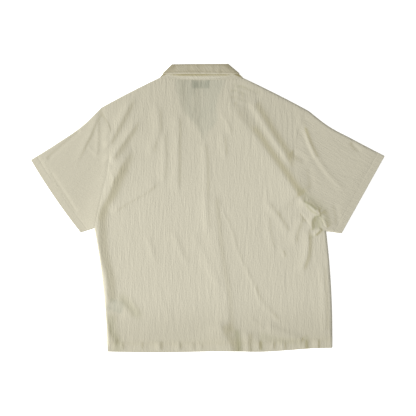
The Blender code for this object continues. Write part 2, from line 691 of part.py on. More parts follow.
def add_buttons(collection, cutters, material):
    mesh = button_mesh(cutters)
    for number, height in enumerate(button_heights(), start=1):
        button = add_object(collection, f"button_{number}", mesh, material)
        button.location = (centre_line(height), height, 0)


def add_label(collection, name, size, centre, low, turn, material):
    """A flat rectangular label, low side at the height given."""
    bpy.ops.mesh.primitive_cube_add(size=1)
    label = bpy.context.object
    label.data.transform(Matrix.Diagonal((*size, LABEL_THICKNESS, 1)))
    mesh = label.data
    bpy.data.objects.remove(label)
    placed = add_object(collection, name, mesh, material)
    placed.location = (*centre, low + LABEL_THICKNESS / 2)
    placed.rotation_euler = (0, 0, turn)


def main():
    clear_scene()
    shirt = new_collection("camp_collar_shirt")
    cutters = new_collection("cutters")
    cotton = new_material("cream crinkle cotton", (0.66, 0.62, 0.49), 0.9)
    resin = new_material("cream button resin", (0.62, 0.57, 0.44), 0.35)
    ribbon = new_material("grey label ribbon", (0.42, 0.42, 0.36), 0.7)
    add_back(shirt, cotton)
    add_front(shirt, "front_left", 1, cotton)
    add_front(shirt, "front_right", -1, cotton)
    add_sleeve(shirt, "sleeve_left", LEFT_EDGE, SLEEVE_TOP_LEFT, CUFF_END_LEFT, cotton)
    add_sleeve(shirt, "sleeve_right", RIGHT_EDGE, SLEEVE_TOP_RIGHT, CUFF_END_RIGHT, cotton)
    add_collar(shirt, cotton)
    add_lapel(shirt, "lapel_left", ROLL_LEFT, LAPEL_EDGE_LEFT, COLLAR_POINT_LEFT, cotton)
    add_lapel(shirt, "lapel_right", ROLL_RIGHT, LAPEL_EDGE_RIGHT, COLLAR_POINT_RIGHT, cotton)
    add_buttons(shirt, cutters, resin)
    under_back = NECK_LEVEL - WALL / 2 - SEAM_GAP - LABEL_THICKNESS
    add_label(shirt, "neck_label", NECK_LABEL_SIZE, NECK_LABEL_CENTRE, under_back, 0, ribbon)
    add_label(shirt, "care_label", CARE_LABEL_SIZE, CARE_LABEL_CENTRE, LAYER, CARE_LABEL_TURN, ribbon)


main()
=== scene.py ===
"""Short-sleeved shirt with an open collar in cream crinkled cotton, buttoned and laid flat on its front.

The back faces up, +X points to the right of the back view and +Y to the collar. Every panel is a thin sheet
on the form of its solid, worked out as a height above the floor at each point of its plan. Lengths are in
metres.
"""

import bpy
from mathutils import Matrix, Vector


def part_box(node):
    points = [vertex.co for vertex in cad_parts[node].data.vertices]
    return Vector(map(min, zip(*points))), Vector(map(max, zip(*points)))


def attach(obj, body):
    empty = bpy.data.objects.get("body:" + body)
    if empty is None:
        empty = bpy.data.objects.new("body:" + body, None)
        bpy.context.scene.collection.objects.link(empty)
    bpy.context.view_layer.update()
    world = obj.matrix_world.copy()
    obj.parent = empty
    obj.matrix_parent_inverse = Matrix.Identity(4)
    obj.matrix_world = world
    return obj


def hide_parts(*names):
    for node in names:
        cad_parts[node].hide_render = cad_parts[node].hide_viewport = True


bl_info = {
    "name": "Open Collar Shirt",
    "version": (1, 0, 0),
    "blender": (4, 5, 0),
    "location": "3D View > Sidebar > Shirt",
    "description": "Sews a crinkled cotton shirt, laid flat, over its solids and lights it for a picture",
    "category": "Object",
}

from types import SimpleNamespace

import bmesh
import bpy
import numpy as np

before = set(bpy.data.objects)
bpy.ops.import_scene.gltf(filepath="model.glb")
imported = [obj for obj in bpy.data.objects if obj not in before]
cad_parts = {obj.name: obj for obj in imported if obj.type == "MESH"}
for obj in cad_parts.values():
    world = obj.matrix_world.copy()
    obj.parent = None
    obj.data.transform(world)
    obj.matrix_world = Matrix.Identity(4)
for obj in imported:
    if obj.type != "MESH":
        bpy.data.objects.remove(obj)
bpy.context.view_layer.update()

MM = 0.001


def in_mm(*values):
    """An array of lengths, points or paths that are given in millimetres."""
    return np.array(values) * MM


# Cloth, and heights of the sheets' middles above the floor
CLOTH = 0.7 * MM
DOUBLE_CLOTH = 1.3 * MM
LAPEL_CLOTH = 0.9 * MM
RIBBON = 0.5 * MM
TUCK = 0.85 * MM
CLEAR_OF_FLOOR = 0.05 * MM
ON_FLOOR = CLOTH / 2 + CLEAR_OF_FLOOR
LEAF_ON_FLOOR = DOUBLE_CLOTH / 2 + CLEAR_OF_FLOOR
BETWEEN_LAYERS = 1.1 * MM
OVER_LEAF = 1.5 * MM
BUTTON_ROOM = 2.75 * MM
OVERLAP_LIFT = 1.5 * MM
LOFT = 5.5 * MM
HEM_LOFT = 4.2 * MM
HEM_FADE = 40 * MM
HEM_LIFT_FADE = 8 * MM
RIM_LIFT = 0.75 * MM
HEM_LIFT = 1.8 * MM
NECK_LEVEL = 4.8 * MM
NECK_FADE = 22 * MM
ARMHOLE_BLEND = 0.15

# Outline of the body
HEM = in_mm(
    (-255.5, -366), (-140, -368), (-60, -367), (10, -365.3), (75, -365.3), (130, -366.5), (215, -361.6),
    (262, -358), (317, -356.5),
)
SHOULDER_BOW = 1.6 * MM
NECK_DIP = 3.6 * MM

# Neck opening
BREAK = in_mm(-9.5, 175)
GORGE_HEIGHT = 298 * MM
NECKLINE_BOW = 5 * MM
CURVE_SAMPLES = 401
GAP_OUTLINE = in_mm(
    (-83.5, 328.3), (-82.2, 310.5), (-73.3, 279.9), (-63.1, 249.3), (-37.6, 218.7), (-18.5, 188.1),
    (-10.8, 170.2), (-3.2, 188.1), (18.5, 211), (24.9, 228.9), (21, 249.3), (26.1, 279.9), (38.9, 310.5),
    (45.3, 328.3),
)

# What belongs to each side. The armhole and the shoulder run upwards, the sleeve's top runs to the cuff,
# the roll from the collar's corner down to the break and the lapel's edge down to it. A bow is how far a
# line bulges to the left of its direction. The crinkle of a sleeve is its fineness and its depth. The
# sleeve's shade is painted shade over the whole sleeve, and the end shades are bells of painted shade at
# the collar's ends.
LEFT = SimpleNamespace(
    name="left",
    sign=1,
    hem_corner=HEM[0],
    seam_bow=-6.5 * MM,
    armhole=in_mm((-289, -52), (-278, -4), (-267, 45), (-257, 84), (-250, 147), (-252, 208), (-272, 254.5)),
    neck_point=in_mm(-122, 331.5),
    sleeve_top=in_mm((-272, 254.5), (-320, 208), (-382, 165), (-450, 122)),
    cuff_end=in_mm(-323, -63),
    cuff_bow=4 * MM,
    roll=in_mm((-90, 364), (-77, 313), (-71, 262), (-45, 216), (-9.5, 175)),
    collar_point=in_mm(-152, 277),
    leaf_middle=in_mm(-142, 311),
    lapel_edge=in_mm((-142, 247), (-104, 210), (-60, 185), (-22, 172)),
    edge_width=3.6 * MM,
    sleeve_shade=0.225,
    sleeve_crinkle=(0.5, 0.95),
    end_shades=((10 * MM, 0.25), (9 * MM, 0)),
)
RIGHT = SimpleNamespace(
    name="right",
    sign=-1,
    hem_corner=HEM[-1],
    seam_bow=-5 * MM,
    armhole=in_mm((301.5, -60), (272, -3), (241, 57), (228, 109), (225.5, 148), (233, 199), (257, 246.5)),
    neck_point=in_mm(90, 330.5),
    sleeve_top=in_mm((257, 246.5), (307, 208), (368, 175), (450, 132)),
    cuff_end=in_mm(340, -65.5),
    cuff_bow=0,
    roll=in_mm((50.5, 365), (38, 313), (34, 262), (18, 212), (-9.5, 175)),
    collar_point=in_mm(115, 276),
    leaf_middle=in_mm(106, 310),
    lapel_edge=in_mm((105, 246), (70, 210), (32, 185), (3, 172)),
    edge_width=6 * MM,
    sleeve_shade=0.2,
    sleeve_crinkle=(0.55, 1.0),
    end_shades=((8 * MM, 0.4), (9 * MM, 0.45)),
)
SIDES = (LEFT, RIGHT)

# Fronts' overlap along the buttons
CENTRE_AT_HEM = 20 * MM
OVERLAP_HALF = 15 * MM
OVERLAP_CLEAR = 20 * MM
OVERLAP_END = 35 * MM
OVERLAP_FADE = 30 * MM
BREAK_CLEARANCE = 0.7 * MM
BREAK_EVEN = 12 * MM
BREAK_FADE = 20 * MM
ROLL_ROWS = 34
NECKLINE_COLUMNS = 16

# Collar and lapels
STAND_LIFT = 0.9 * MM
STAND_OVER_BACK = 2 * MM
FRONT_STAND_LEVEL = ON_FLOOR + OVER_LEAF + 0.35 * MM
STAND_RISE = 1.0 * MM
FALL_TOP_LEVEL = 7.7 * MM
FALL_EDGE_LEVEL = 9.3 * MM
FALL_EDGE_DROP = 1.3 * MM
FALL_EDGE_FADE = 3.4 * MM
FALL_SHARE = 0.74
FALL_RUMPLE = 0.45 * MM
FALL_RUMPLE_FADE = 8 * MM
SEAM_ABOVE_NECKLINE = 0.3 * MM
SIDE_CLEARANCE = 1.6 * MM
SIDE_PRESSED = 1.9 * MM
COLLAR_ABOVE_GORGE = 7 * MM
COLLAR_GRAIN = np.radians(38)
COLLAR_CRINKLE = (0.6, 1.25)
LEAF_EVEN = 16 * MM
LEAF_FADE = 30 * MM
LEAF_COLUMNS = 27
NECK_COLUMNS = 72
TURN_STEPS = 9
STAND_ROWS = in_mm(0, 2, 4, 6, 7.5, 8.5, 9.5, 10.5, 11.5, 12.5, 14, 17, 21, 26)
STAND_REACH = 32 * MM
FALL_ROWS = in_mm(24, 20, 17, 14, 11, 9, 7.4, 6.6, 6, 5.4, 4.6, 3, 1.4, 0.5, 0)
FALL_REACH = 27 * MM
STITCHED_ROW = -7
LAPEL_BELOW_COLLAR = in_mm(0, -2.5)
LAPEL_ROWS = 41
LAPEL_END = 0.95
NOTCH_SHARE = 0.42
TIP_SHARE = 0.375

# Buttons
BUTTON_COUNT = 5
BUTTON_PITCH = 104 * MM
FIRST_BUTTON_BELOW_BREAK = 16 * MM
BUTTON_EVEN = 13 * MM
BUTTON_FADE = 16 * MM
BUTTON_HOLE_SPREAD = 1.5 * MM
THREAD_TOP = 1.6 * MM
THREAD_ARCH = 1.35 * MM
STRANDS = in_mm(-0.35, 0, 0.35)
STRAND_RADIUS = 0.2 * MM
BUTTONHOLE_HALF = (1.1 * MM, 7.6 * MM)
BUTTONHOLE_RADIUS = 0.32 * MM
BUTTONHOLE_BULGE = 0.08
WELD_DISTANCE = 0.00001
# A direction that no thread runs in
ASKEW = (0.97, 0.05, 0.23)

# Labels, blank
NECK_LABEL_SIZE = (46 * MM, 20 * MM)
NECK_LABEL_CENTRE = (-17 * MM, 314.5 * MM)
CARE_LABEL_SIZE = (40 * MM, 30 * MM)
CARE_LABEL_CENTRE = (-234 * MM, -250 * MM)
CARE_LABEL_TURN = -0.3
LABEL_WAVE = 0.12 * MM

# Hems and stitch lines
HEM_WIDTH = 26 * MM
CUFF_WIDTH = 18 * MM
GROOVE_WIDTH = 1.1 * MM
GROOVE_DEPTH = 0.35 * MM
FAINT_GROOVE = 0.4
COLLAR_STITCH_IN = 6 * MM

# Folds of the back and of the sleeves: name, widths, height, shape, fades and path, in millimetres. Each
# runs down its path. Its widths are the left and the right flank, and again at the path's end where they
# differ. A height below 0 is a trough, a shape of 2 is round and nearer 1 is sharp. The fades are how far
# it takes to rise and to end.
FOLD_CUT_OFF = 2.6
FOLDS = (
    ("shoulder plateau", (50, 32, 46, 22), 4, 1.3, (90, 24), ((45, 316), (54, 280), (77, 231), (104, 200),
     (131, 166), (156, 132), (180, 99), (216, 49), (240, 18))),
    ("shoulder second ridge", (9, 17, 7, 16), 2.52, 1.9, (22, 40), ((105, 277), (119, 253), (137, 225),
     (152, 200), (169, 174), (186, 149), (200, 127), (215, 101))),
    ("shoulder wrinkle 1", (4, 4), -0.85, 2, (14, 22), ((59, 314), (98, 305), (138, 289))),
    ("shoulder wrinkle 2", (4, 4), -0.8, 2, (12, 18), ((54, 300), (82, 295), (110, 285))),
    ("shoulder wrinkle 3", (4, 4), -0.7, 2, (12, 16), ((54, 282), (77, 280), (103, 270))),
    ("shoulder wrinkle 4", (4, 4), -0.7, 2, (12, 16), ((64, 265), (87, 263), (113, 252))),
    ("yoke drag 2", (8, 6), 0.5, 2, (12, 14), ((77, 305), (86, 280), (100, 249))),
    ("yoke drag 3", (6, 5), 0.9, 1.8, (14, 16), ((34, 247), (47, 219), (64, 183))),
    ("yoke drag 4", (9, 7), 1.04, 2, (18, 18), ((38, 193), (41, 160), (45, 122))),
    ("underarm lip", (12, 14, 6, 11), 2.9, 1.5, (14, 20), ((230, 30), (240, 18), (251, 12), (263, 3),
     (276, -7), (286, -16), (290, -24))),
    ("underarm end", (8, 12), 1.3, 2, (8, 8), ((284, -7), (293, -18), (298, -31), (304, -52))),
    ("underarm hook", (9, 5), 1.6, 1.6, (6, 6), ((289, -16), (280, -18), (270, -24), (264, -34), (263, -47),
     (266, -57))),
    ("underarm pocket", (6, 6), -0.5, 2, (5, 5), ((279, -26), (279, -39), (277, -54))),
    ("underarm corner", (4, 4), 0.5, 2, (5, 4), ((291, -24), (299, -38), (304, -52))),
    ("underarm curl", (5, 4), 1.8, 1.8, (4, 5), ((289, -52), (281, -61), (270, -71))),
    ("underarm crease", (3, 3), -0.7, 1.4, (6, 6), ((235, -12), (251, -33), (267, -57))),
    ("side fold 1", (11, 9.5), 1.78, 1.8, (30, 28), ((248, -44), (254, -75), (254, -100), (251, -123),
     (243, -146), (230, -171))),
    ("side fold 2", (10, 10), 1.35, 1.8, (16, 24), ((240, -21), (229, -47), (222, -69), (219, -103))),
    ("side fold 3", (11, 8), 1.1, 2, (20, 20), ((146, 22), (164, -4), (178, -22), (192, -44), (207, -69))),
    ("side fold 4", (7, 6), 0.6, 2, (18, 22), ((154, -16), (156, -57), (161, -82), (171, -118))),
    ("side fold 5", (5, 5), 0.8, 2, (8, 8), ((187, -103), (197, -128))),
    ("right side swell", (10, 9), 0.9, 2, (25, 20), ((291, -138), (296, -235), (299, -322))),
    ("centre stripe 1", (13, 9), 1.39, 2, (30, 26), ((-129, 270), (-126, 229), (-126, 196), (-138, 163),
     (-147, 127))),
    ("centre stripe 2", (10, 8), 1.13, 2, (26, 34), ((-114, 203), (-111, 160), (-110, 112), (-117, 50))),
    ("centre stripe 3", (14, 8), 1.39, 2, (28, 44), ((-76, 244), (-76, 198), (-77, 160), (-77, 112),
     (-80, 30))),
    ("centre stripe 4", (6, 5), 0.4, 2, (8, 8), ((-49, 265), (-47, 237), (-45, 211))),
    ("centre line", (10, 8), 1.13, 2, (12, 30), ((-12, 168), (-7, 135), (-5, 96), (-5, 45), (-4, -11),
     (1, -72))),
    ("centre ridge", (40, 13, 34, 17), 1.65, 1.8, (30, 14), ((12, 45), (18, -18), (25, -95), (34, -159),
     (43, -210), (48, -261), (49, -322))),
    ("opening tip crease", (6, 4.5), 0.55, 1.8, (14, 6), ((-34, 234), (-22, 198), (-11, 168))),
    ("waist crease", (3.5, 4.5), 0.52, 1.6, (30, 16), ((36, -1), (61, -59), (79, -120), (113, -189),
     (138, -248), (159, -268), (181, -286))),
    ("waist crease 2", (3, 5), 0.5, 1.5, (10, 10), ((118, -194), (133, -231), (164, -268), (187, -294))),
    ("waist crease 3", (3, 4), 0.6, 1.5, (6, 6), ((105, -279), (120, -291), (143, -310))),
    ("waist drag 1", (9, 7), 0.7, 2, (18, 18), ((-91, -57), (-71, -103), (-50, -149))),
    ("waist drag 2", (12, 9), 0.6, 2, (30, 30), ((-40, -57), (-4, -133), (36, -215))),
    ("waist drag 3", (9, 7), 0.7, 2, (16, 16), ((-155, -67), (-142, -108), (-129, -149))),
    ("left drag 1", (10, 8, 16, 10), 2.7, 1.8, (52, 18), ((-180, 290), (-196, 267), (-216, 231),
     (-238, 188), (-257, 152))),
    ("left drag 2", (9, 8, 15, 10), 3.13, 1.7, (52, 18), ((-170, 231), (-188, 206), (-211, 173),
     (-234, 140), (-251, 114))),
    ("left long drag", (44, 15, 4, 17), 4.7, 1.8, (60, 22), ((-186, 157), (-217, 115), (-235, 82),
     (-251, 44), (-272, 4), (-279, -24), (-279, -64), (-277, -100), (-270, -138), (-259, -184),
     (-257, -220), (-256, -251))),
    ("left drag swell", (12, 27), 1.17, 2, (26, 30), ((-216, 112), (-233, 71), (-249, 30), (-265, -6))),
    ("left corner ridge", (4, 15), 2.44, 1.8, (14, 8), ((-257, -268), (-254, -294), (-252, -319),
     (-249, -353))),
    ("armhole crease", (6, 3.5), 1.3, 1.7, (5, 14), ((-280, 252), (-268, 229), (-252, 206), (-249, 183))),
    ("armhole pucker 1", (3, 3), 0.9, 1.7, (3, 4), ((-253, 103), (-243, 96), (-230, 98))),
    ("armhole pucker 2", (4, 3), 1.1, 1.7, (4, 5), ((-245, 89), (-239, 75), (-243, 58))),
    ("left curved crease", (16, 5), 1.3, 1.8, (24, 24), ((-122, 68), (-152, 44), (-174, 31), (-217, 6),
     (-247, -16))),
    ("sleeve crease 1", (11, 4.5), 1.61, 1.7, (10, 90), ((-276, 242), (-285, 221), (-296, 192), (-312, 160),
     (-327, 129), (-342, 91))),
    ("sleeve crease 2", (6, 3.5), 0.8, 1.7, (10, 24), ((-275, 242), (-279, 214), (-279, 180), (-281, 145),
     (-282, 124))),
    ("sleeve crease 3", (4, 4), 0.5, 1.8, (4, 6), ((-307, 156), (-295, 147), (-280, 132))),
    ("sleeve top trough", (5, 5), -1.1, 2, (10, 8), ((-323, 198), (-361, 165), (-410, 122))),
    ("cuff trough", (4, 4), -0.5, 2, (10, 12), ((-400, 91), (-372, 48), (-331, -16))),
    ("right sleeve crease 1", (4.5, 8), 0.85, 1.7, (14, 30), ((234, 229), (256, 175), (286, 115), (319, 71),
     (353, 38))),
    ("right sleeve pleat", (5, 3.5), -0.4, 1.6, (14, 26), ((229, 208), (247, 170), (276, 112), (308, 68))),
    ("right sleeve crease 2", (3.5, 5), 1.1, 1.6, (6, 10), ((243, 206), (257, 165), (276, 122))),
    ("right cuff dent", (6, 6), -1.04, 2, (6, 6), ((365, 170), (375, 155), (391, 142))),
    ("right sleeve hollow", (7, 7), -0.7, 2, (10, 8), ((322, 12), (330, -16), (332, -47))),
    ("right sleeve hollow 2", (8, 8), -1, 2, (10, 10), ((212, 145), (233, 129), (253, 114))),
    ("right sleeve hollow 3", (8, 8), -0.6, 2, (12, 12), ((256, 106), (263, 76), (266, 43))),
    ("label ridge", (5, 5), 0.6, 2, (8, 10), ((-198, -228), (-186, -249), (-174, -276))),
    ("label fold", (16, 7), 1, 2, (14, 12), ((-231, -230), (-215, -247), (-201, -265), (-193, -284))),
    ("label lift", (12, 7), 0.5, 2, (5, 10), ((-265, -251), (-247, -266), (-229, -284))),
    ("corner trough", (5, 8), -0.9, 2, (6, 10), ((-256, -273), (-247, -302), (-244, -327))),
    ("hem pucker 1", (9, 7), 0.9, 2, (12, 13), ((-237, -327), (-234, -347), (-231, -367))),
    ("hem pucker 2", (7, 5), 1.22, 2, (15, 11), ((-220, -336), (-219, -351), (-219, -367))),
    ("hem pucker 3", (10, 5), 1.1, 2, (9, 13), ((-171, -337), (-170, -352), (-169, -367))),
    ("hem pucker 4", (11, 6), 2.09, 2, (12, 11), ((-124, -335), (-123, -351), (-123, -367))),
    ("hem pucker 5", (10, 5), 1.57, 2, (15, 13), ((-74, -336), (-73, -351), (-73, -367))),
    ("hem pucker 6", (8, 5), 1.1, 2, (9, 11), ((-40, -339), (-39, -353), (-38, -367))),
    ("hem pucker 7", (7, 5), 1.04, 2, (12, 13), ((-17, -339), (-17, -353), (-16, -367))),
    ("hem pucker 8", (10, 5), 1.74, 2, (15, 11), ((129, -332), (130, -349), (131, -367))),
    ("hem pucker 9", (7, 5), 1, 2, (9, 13), ((165, -337), (166, -352), (166, -367))),
    ("hem pucker 10", (9, 6), 1.13, 2, (12, 11), ((192, -335), (193, -351), (194, -367))),
    ("hem pucker 11", (12, 7), 1.74, 2, (15, 13), ((245, -330), (246, -348), (247, -367))),
    ("hem pucker 12", (8, 5), 1.22, 2, (9, 11), ((279, -332), (279, -349), (280, -367))),
    ("hem drag", (18, 9), 1.48, 2, (20, 10), ((143, -299), (192, -318), (245, -340))),
    ("hem wave 1", (46, 14, 40, 26), 4, 1.6, (26, 10), ((21, -284), (36, -317), (54, -350), (63, -381))),
    ("hem wave 2", (8, 14), 1.91, 1.8, (12, 6), ((98, -312), (100, -347), (103, -383))),
)

# Painted shadow in the deep creases, where the cloth folds over itself, darker and warmer: half width,
# depth of tone and path, in millimetres
CREASE_SHADOWS = (
    ("shoulder wrinkle 1", 2.2, 0.4, ((70, 312), (98, 305), (130, 292))),
    ("shoulder wrinkle 2", 2.2, 0.36, ((66, 298), (82, 295), (106, 286))),
    ("shoulder wrinkle 3", 2.2, 0.34, ((65, 281), (77, 280), (99, 271))),
    ("underarm lip", 3.5, 0.9, ((246, 17), (253, 12), (264, 6), (275, -3))),
    ("underarm lip, lower line", 3, 0.6, ((252, 5), (262, -6), (276, -15))),
    ("underarm shade", 11, 0.3, ((238, 42), (260, 23), (285, 4), (298, -14), (302, -36))),
    ("underarm hook", 3, 0.9, ((285, -21), (276, -23), (270, -28), (269, -40), (269, -54))),
    ("underarm pocket", 9, 0.7, ((279, -29), (282, -46))),
    ("underarm end", 5, 0.45, ((289, -18), (291, -40))),
    ("underarm curl", 3.5, 0.25, ((290, -47), (292, -57), (276, -68), (259, -78))),
    ("label fold", 12, 0.35, ((-217, -232), (-198, -250), (-180, -270))),
    ("left corner", 11, 0.4, ((-246, -281), (-242, -312), (-231, -337), (-231, -363))),
    ("hem wave 1", 8, 0.65, ((74, -318), (79, -341), (81, -366))),
    ("hem wave 2", 5, 0.3, ((136, -336), (137, -346), (138, -362))),
    ("hem drag", 9, 0.25, ((138, -327), (197, -340), (250, -345))),
    ("hem pucker 11", 6, 0.35, ((251, -329), (252, -343), (254, -358))),
)

# Strips where the cloth is pulled smooth, with painted warm shade along the folds' shadowed flanks: half
# width, share and path, in millimetres
PULLED_SHADED_STRIPS = (
    ("shoulder drag", 8, 0.48,
     ((122, 200), (138, 180), (154, 155), (171, 132), (197, 96), (217, 68), (236, 40))),
    ("left long drag", 11, 0.22, ((-216, 98), (-226, 78), (-237, 55), (-244, 33), (-259, 7), (-272, -24))),
    ("second drag", 6, 0.12, ((131, 251), (150, 222), (170, 193), (190, 163), (206, 136), (217, 108))),
)

# Noise: cell sizes across and along, and seed
CRINKLE_LAYERS = (
    # share, noise
    (0.55, (5.2 * MM, 30 * MM, 11)),
    (0.6, (9 * MM, 64 * MM, 12)),
)
LATTICE = 257
CRINKLE_CREST = 2.6
CRINKLE_SHIFT = 2.4 * MM
CRINKLE_DRIFT = (26 * MM, 40 * MM, 14)
NECK_GATHER_DRIFT = (14 * MM, 40 * MM, 21)
HEM_PUCKERS = (3.4 * MM, 16 * MM, 22)
MOTTLE = (6 * MM, 16 * MM, 31)
LABEL_STREAKS = (4.5 * MM, 30 * MM, 33)
COLLAR_BLOTCHES = (9 * MM, 12 * MM, 41)
COLLAR_CLOUDS = (26 * MM, 20 * MM, 42)
UNDER_STREAKS = (24 * MM, 60 * MM, 43)
FALL_RUMPLES = (8 * MM, 14 * MM, 44)

# How lively the crinkles are: more so towards the right shoulder and hardly at all on the pulled strips
LIVELY_SHARE = 1.1
LIVELY_TO_RIGHT = in_mm(10, 80)
LIVELY_UPWARDS = in_mm(90, 180)
PULLED_SMOOTH = 0.88
PULLED_TONE = 0.25
FRONT_CRINKLE = 0.5
FRONT_CRINKLE_PLACE = 310 * MM
SLEEVE_CRINKLE = 0.55
SLEEVE_CRINKLE_PLACE = 170 * MM
UNDERSIDE_CRINKLE = 0.3

# A stitch from end to end: place as a share of its length, then thickness and height as shares of the
# thread's radius
STITCH_FORM = np.array((
    (-0.5, 0.15, -0.9), (-0.36, 0.85, 0.1), (0, 1, 0.5), (0.36, 0.85, 0.1), (0.5, 0.15, -0.9),
))

# Gathers: pitch and sideways shift of those under the neck seam, and place of those in the hem
NECK_GATHER_PITCH = 8.5 * MM
NECK_GATHER_SHIFT = 2.6
HEM_GATHER_LINE = 0.8 * HEM_WIDTH

# Bells: width and height. The gathers are heights; the others are painted tones: shade along the hem's
# pressed line, shade at the fall's fold and its stitch line, a highlight along its edge and a shadow
# under it
NECK_GATHERS = (17 * MM, 0.28 * MM)
HEM_GATHERS = (14 * MM, 0.3 * MM)
PRESSED_HEM_SHADE = (8 * MM, 0.15)
FALL_AT_FOLD = (2.6 * MM, 0.5)
FALL_AT_STITCHES = (2 * MM, 0.28)
FALL_EDGE_HIGHLIGHT = (2.6 * MM, -0.4)
UNDER_FALL = (3 * MM, 0.5)

# Painted tones of the cloth, and how strongly each shows: show-through where something else, or nothing,
# lies behind it, painted shade over the opening, at the hem, the shoulders and on the collar, painted
# shadow in the creases, under the collar's fall and in its end wedges, and random mottle, blotches and
# clouds
SHADE_TINT = (0.72, 0.71, 0.67)
CREASE_SHADOW_TINT = (0.88, 0.855, 0.7)
COLLAR_SHADE_COLOUR = (0.29, 0.26, 0.172)
CREASE_SHADOW_SHARE = 0.6
FALL_TONE = 0.6
STAND_SHADE = 0.375
HEM_SHADE = 0.375
SHOULDER_SHADE = 0.3
LABEL_EDGE = 6 * MM
LABEL_TONE = 0.3
LABEL_SHADE = 0.24
LABEL_STREAK = 0.5
CARE_LABEL_SHADE = 0.08
OPENING_EDGE = 13 * MM
OPENING_TONE = 0.27
OPENING_STRIPE = 0.5
OPENING_PALER_BELOW = 0.35
MOTTLE_SHARE = 0.32
# Painted shade on steep flanks: the slopes at which it starts and is full, then its share at the left and how
# much it grows towards the right
STEEP = (0.03, 0.17)
STEEP_SHADE = (0.35, 0.5)
BLOTCH_SHARE = 0.12
CLOUD_SHARE = 0.1
UNDER_STREAK_SHARE = 0.4
WEDGE_TONE = 0.85
WEDGE_SLOPE = 0.41

# Where the painted tones change: start, and how far the change takes. The opening's foot is counted
# downwards, and the hem's painted shade fades away from the hem.
STEEP_SHADE_RISE = in_mm(-50, 150)
OPENING_FOOT = in_mm(-250, 90)
LEFT_HALF = in_mm(-45, 56)
HEM_DARK = in_mm(30, 115)
SHOULDER_DARK = in_mm(-20, 330)
WEDGE_ENDS = in_mm(80, 8)

# Painted tones by place: the shaded stripes over the opening, the painted shade along the pressed line of
# the hem, and the collar's painted shadow line under the fall, its shadow wedges at the ends and the lit
# crescent of the stand
STRIPE_START = -27 * MM
STRIPE_PITCH = 36 * MM
PRESSED_LINE = 22 * MM
UNDER_LINE = 2.2 * MM
UNDER_FADE = 30 * MM
WEDGE_HEIGHT = 338.5 * MM
CRESCENT_HALF = 88 * MM
CRESCENT_HEIGHT = 328 * MM
CRESCENT_RISE = 9 * MM
SOFT_LINE = 2 * MM

# Stage
FLOOR_SIZE = 14
FLOOR_BELOW = 0.3 * MM
KEY_PLACE = (-6.2, -1.8, 4.2)
KEY_SIZE = 2.6
SENSOR_WIDTH = 36
VIEW_REACH = 50
CAMERA_SHIFT = (0.6 * MM, -0.6 * MM)

# How finely the sheets are divided
COLUMN_STEP = 2.3 * MM
ROW_STEP = 5 * MM
CLOSE_ROW_STEP = 2.6 * MM
CLOSE_BELOW_UNDERARM = 34 * MM
CLOSE_ABOVE_UNDERARM = 76 * MM
FRONT_COLUMN_STEP = 3.2 * MM
SLEEVE_ROW_STEP = 3.6 * MM
FINE_STEPS = in_mm(0.3, 0.9, 1.9, 3.3, 5.0)
HEM_ROWS = in_mm(8.5, 12, 16, 20)
STITCH_ROWS = in_mm(-1.8, -0.8, 0, 0.8, 1.8)
CUFF_ROWS = in_mm(8.5, 12, 15.4, 17.2, 18, 18.8, 20.6)
EVEN = np.linspace(0, 1, 33)


def eased(value):
    """0 below 0, 1 above 1 and 3 v squared - 2 v cubed between."""
    clipped = np.clip(value, 0, 1)
    return clipped * clipped * (3 - 2 * clipped)


def rising(value, start, over):
    """0 up to a start, and eased to 1 over a length from there."""
    return eased((value - start) / over)


def bell(apart, width, height=1.0):
    """Height times exp(-(d / width) squared)."""
    return height * np.exp(-((apart / width) ** 2))


def unit(vectors):
    """Each vector divided by its length."""
    return vectors / np.linalg.norm(vectors, axis=-1, keepdims=True)


def travel(points):
    """Distance travelled along a path of straight pieces at each of its points."""
    return np.concatenate([[0], np.cumsum(np.linalg.norm(np.diff(points, axis=0), axis=1))])


def through(points, at):
    """Points at fractions of the length of a smooth curve through the given ones (a Catmull-Rom spline)."""
    knots = travel(points)
    slopes = np.gradient(points, knots, axis=0)
    where = np.clip(at, 0, 1) * knots[-1]
    index = np.clip(np.searchsorted(knots, where, side="right") - 1, 0, len(knots) - 2)
    step = (knots[index + 1] - knots[index])[:, None]
    t = (where - knots[index])[:, None] / step
    return (
        (1 + 2 * t) * (1 - t) ** 2 * points[index]
        + t * (1 - t) ** 2 * step * slopes[index]
        + t * t * (3 - 2 * t) * points[index + 1]
        + t * t * (t - 1) * step * slopes[index + 1]
    )


def bowed(start, end, bow, at):
    """Points at fractions of a line that bulges to the left of its direction by bow at its middle (a
    parabola)."""
    along = end - start
    side = np.array((-along[1], along[0])) / np.linalg.norm(along)
    at = np.asarray(at)[:, None]
    return start + at * along + 4 * at * (1 - at) * bow * side


def spaced(length, step, fine_start=False, fine_end=False):
    """Fractions of a length at even steps, with closer ones at the ends that ask for them."""
    low = FINE_STEPS[-1] + step if fine_start else 0
    high = length - (FINE_STEPS[-1] + step if fine_end else 0)
    middle = np.linspace(low, high, max(2, int(round((high - low) / step)) + 1))
    start = np.concatenate([[0], FINE_STEPS]) if fine_start else np.zeros(0)
    end = np.concatenate([length - FINE_STEPS[::-1], [length]]) if fine_end else np.zeros(0)
    return np.concatenate([start, middle, end]) / length


def distance_to(path, x, y):
    """Distance from each point to a path of straight pieces."""
    nearest = np.full(np.shape(x), np.inf)
    for a, b in zip(path[:-1], path[1:]):
        along = b - a
        t = ((x - a[0]) * along[0] + (y - a[1]) * along[1]) / max(along @ along, 1e-12)
        t = np.clip(t, 0, 1)
        nearest = np.minimum(nearest, np.hypot(x - a[0] - t * along[0], y - a[1] - t * along[1]))
    return nearest


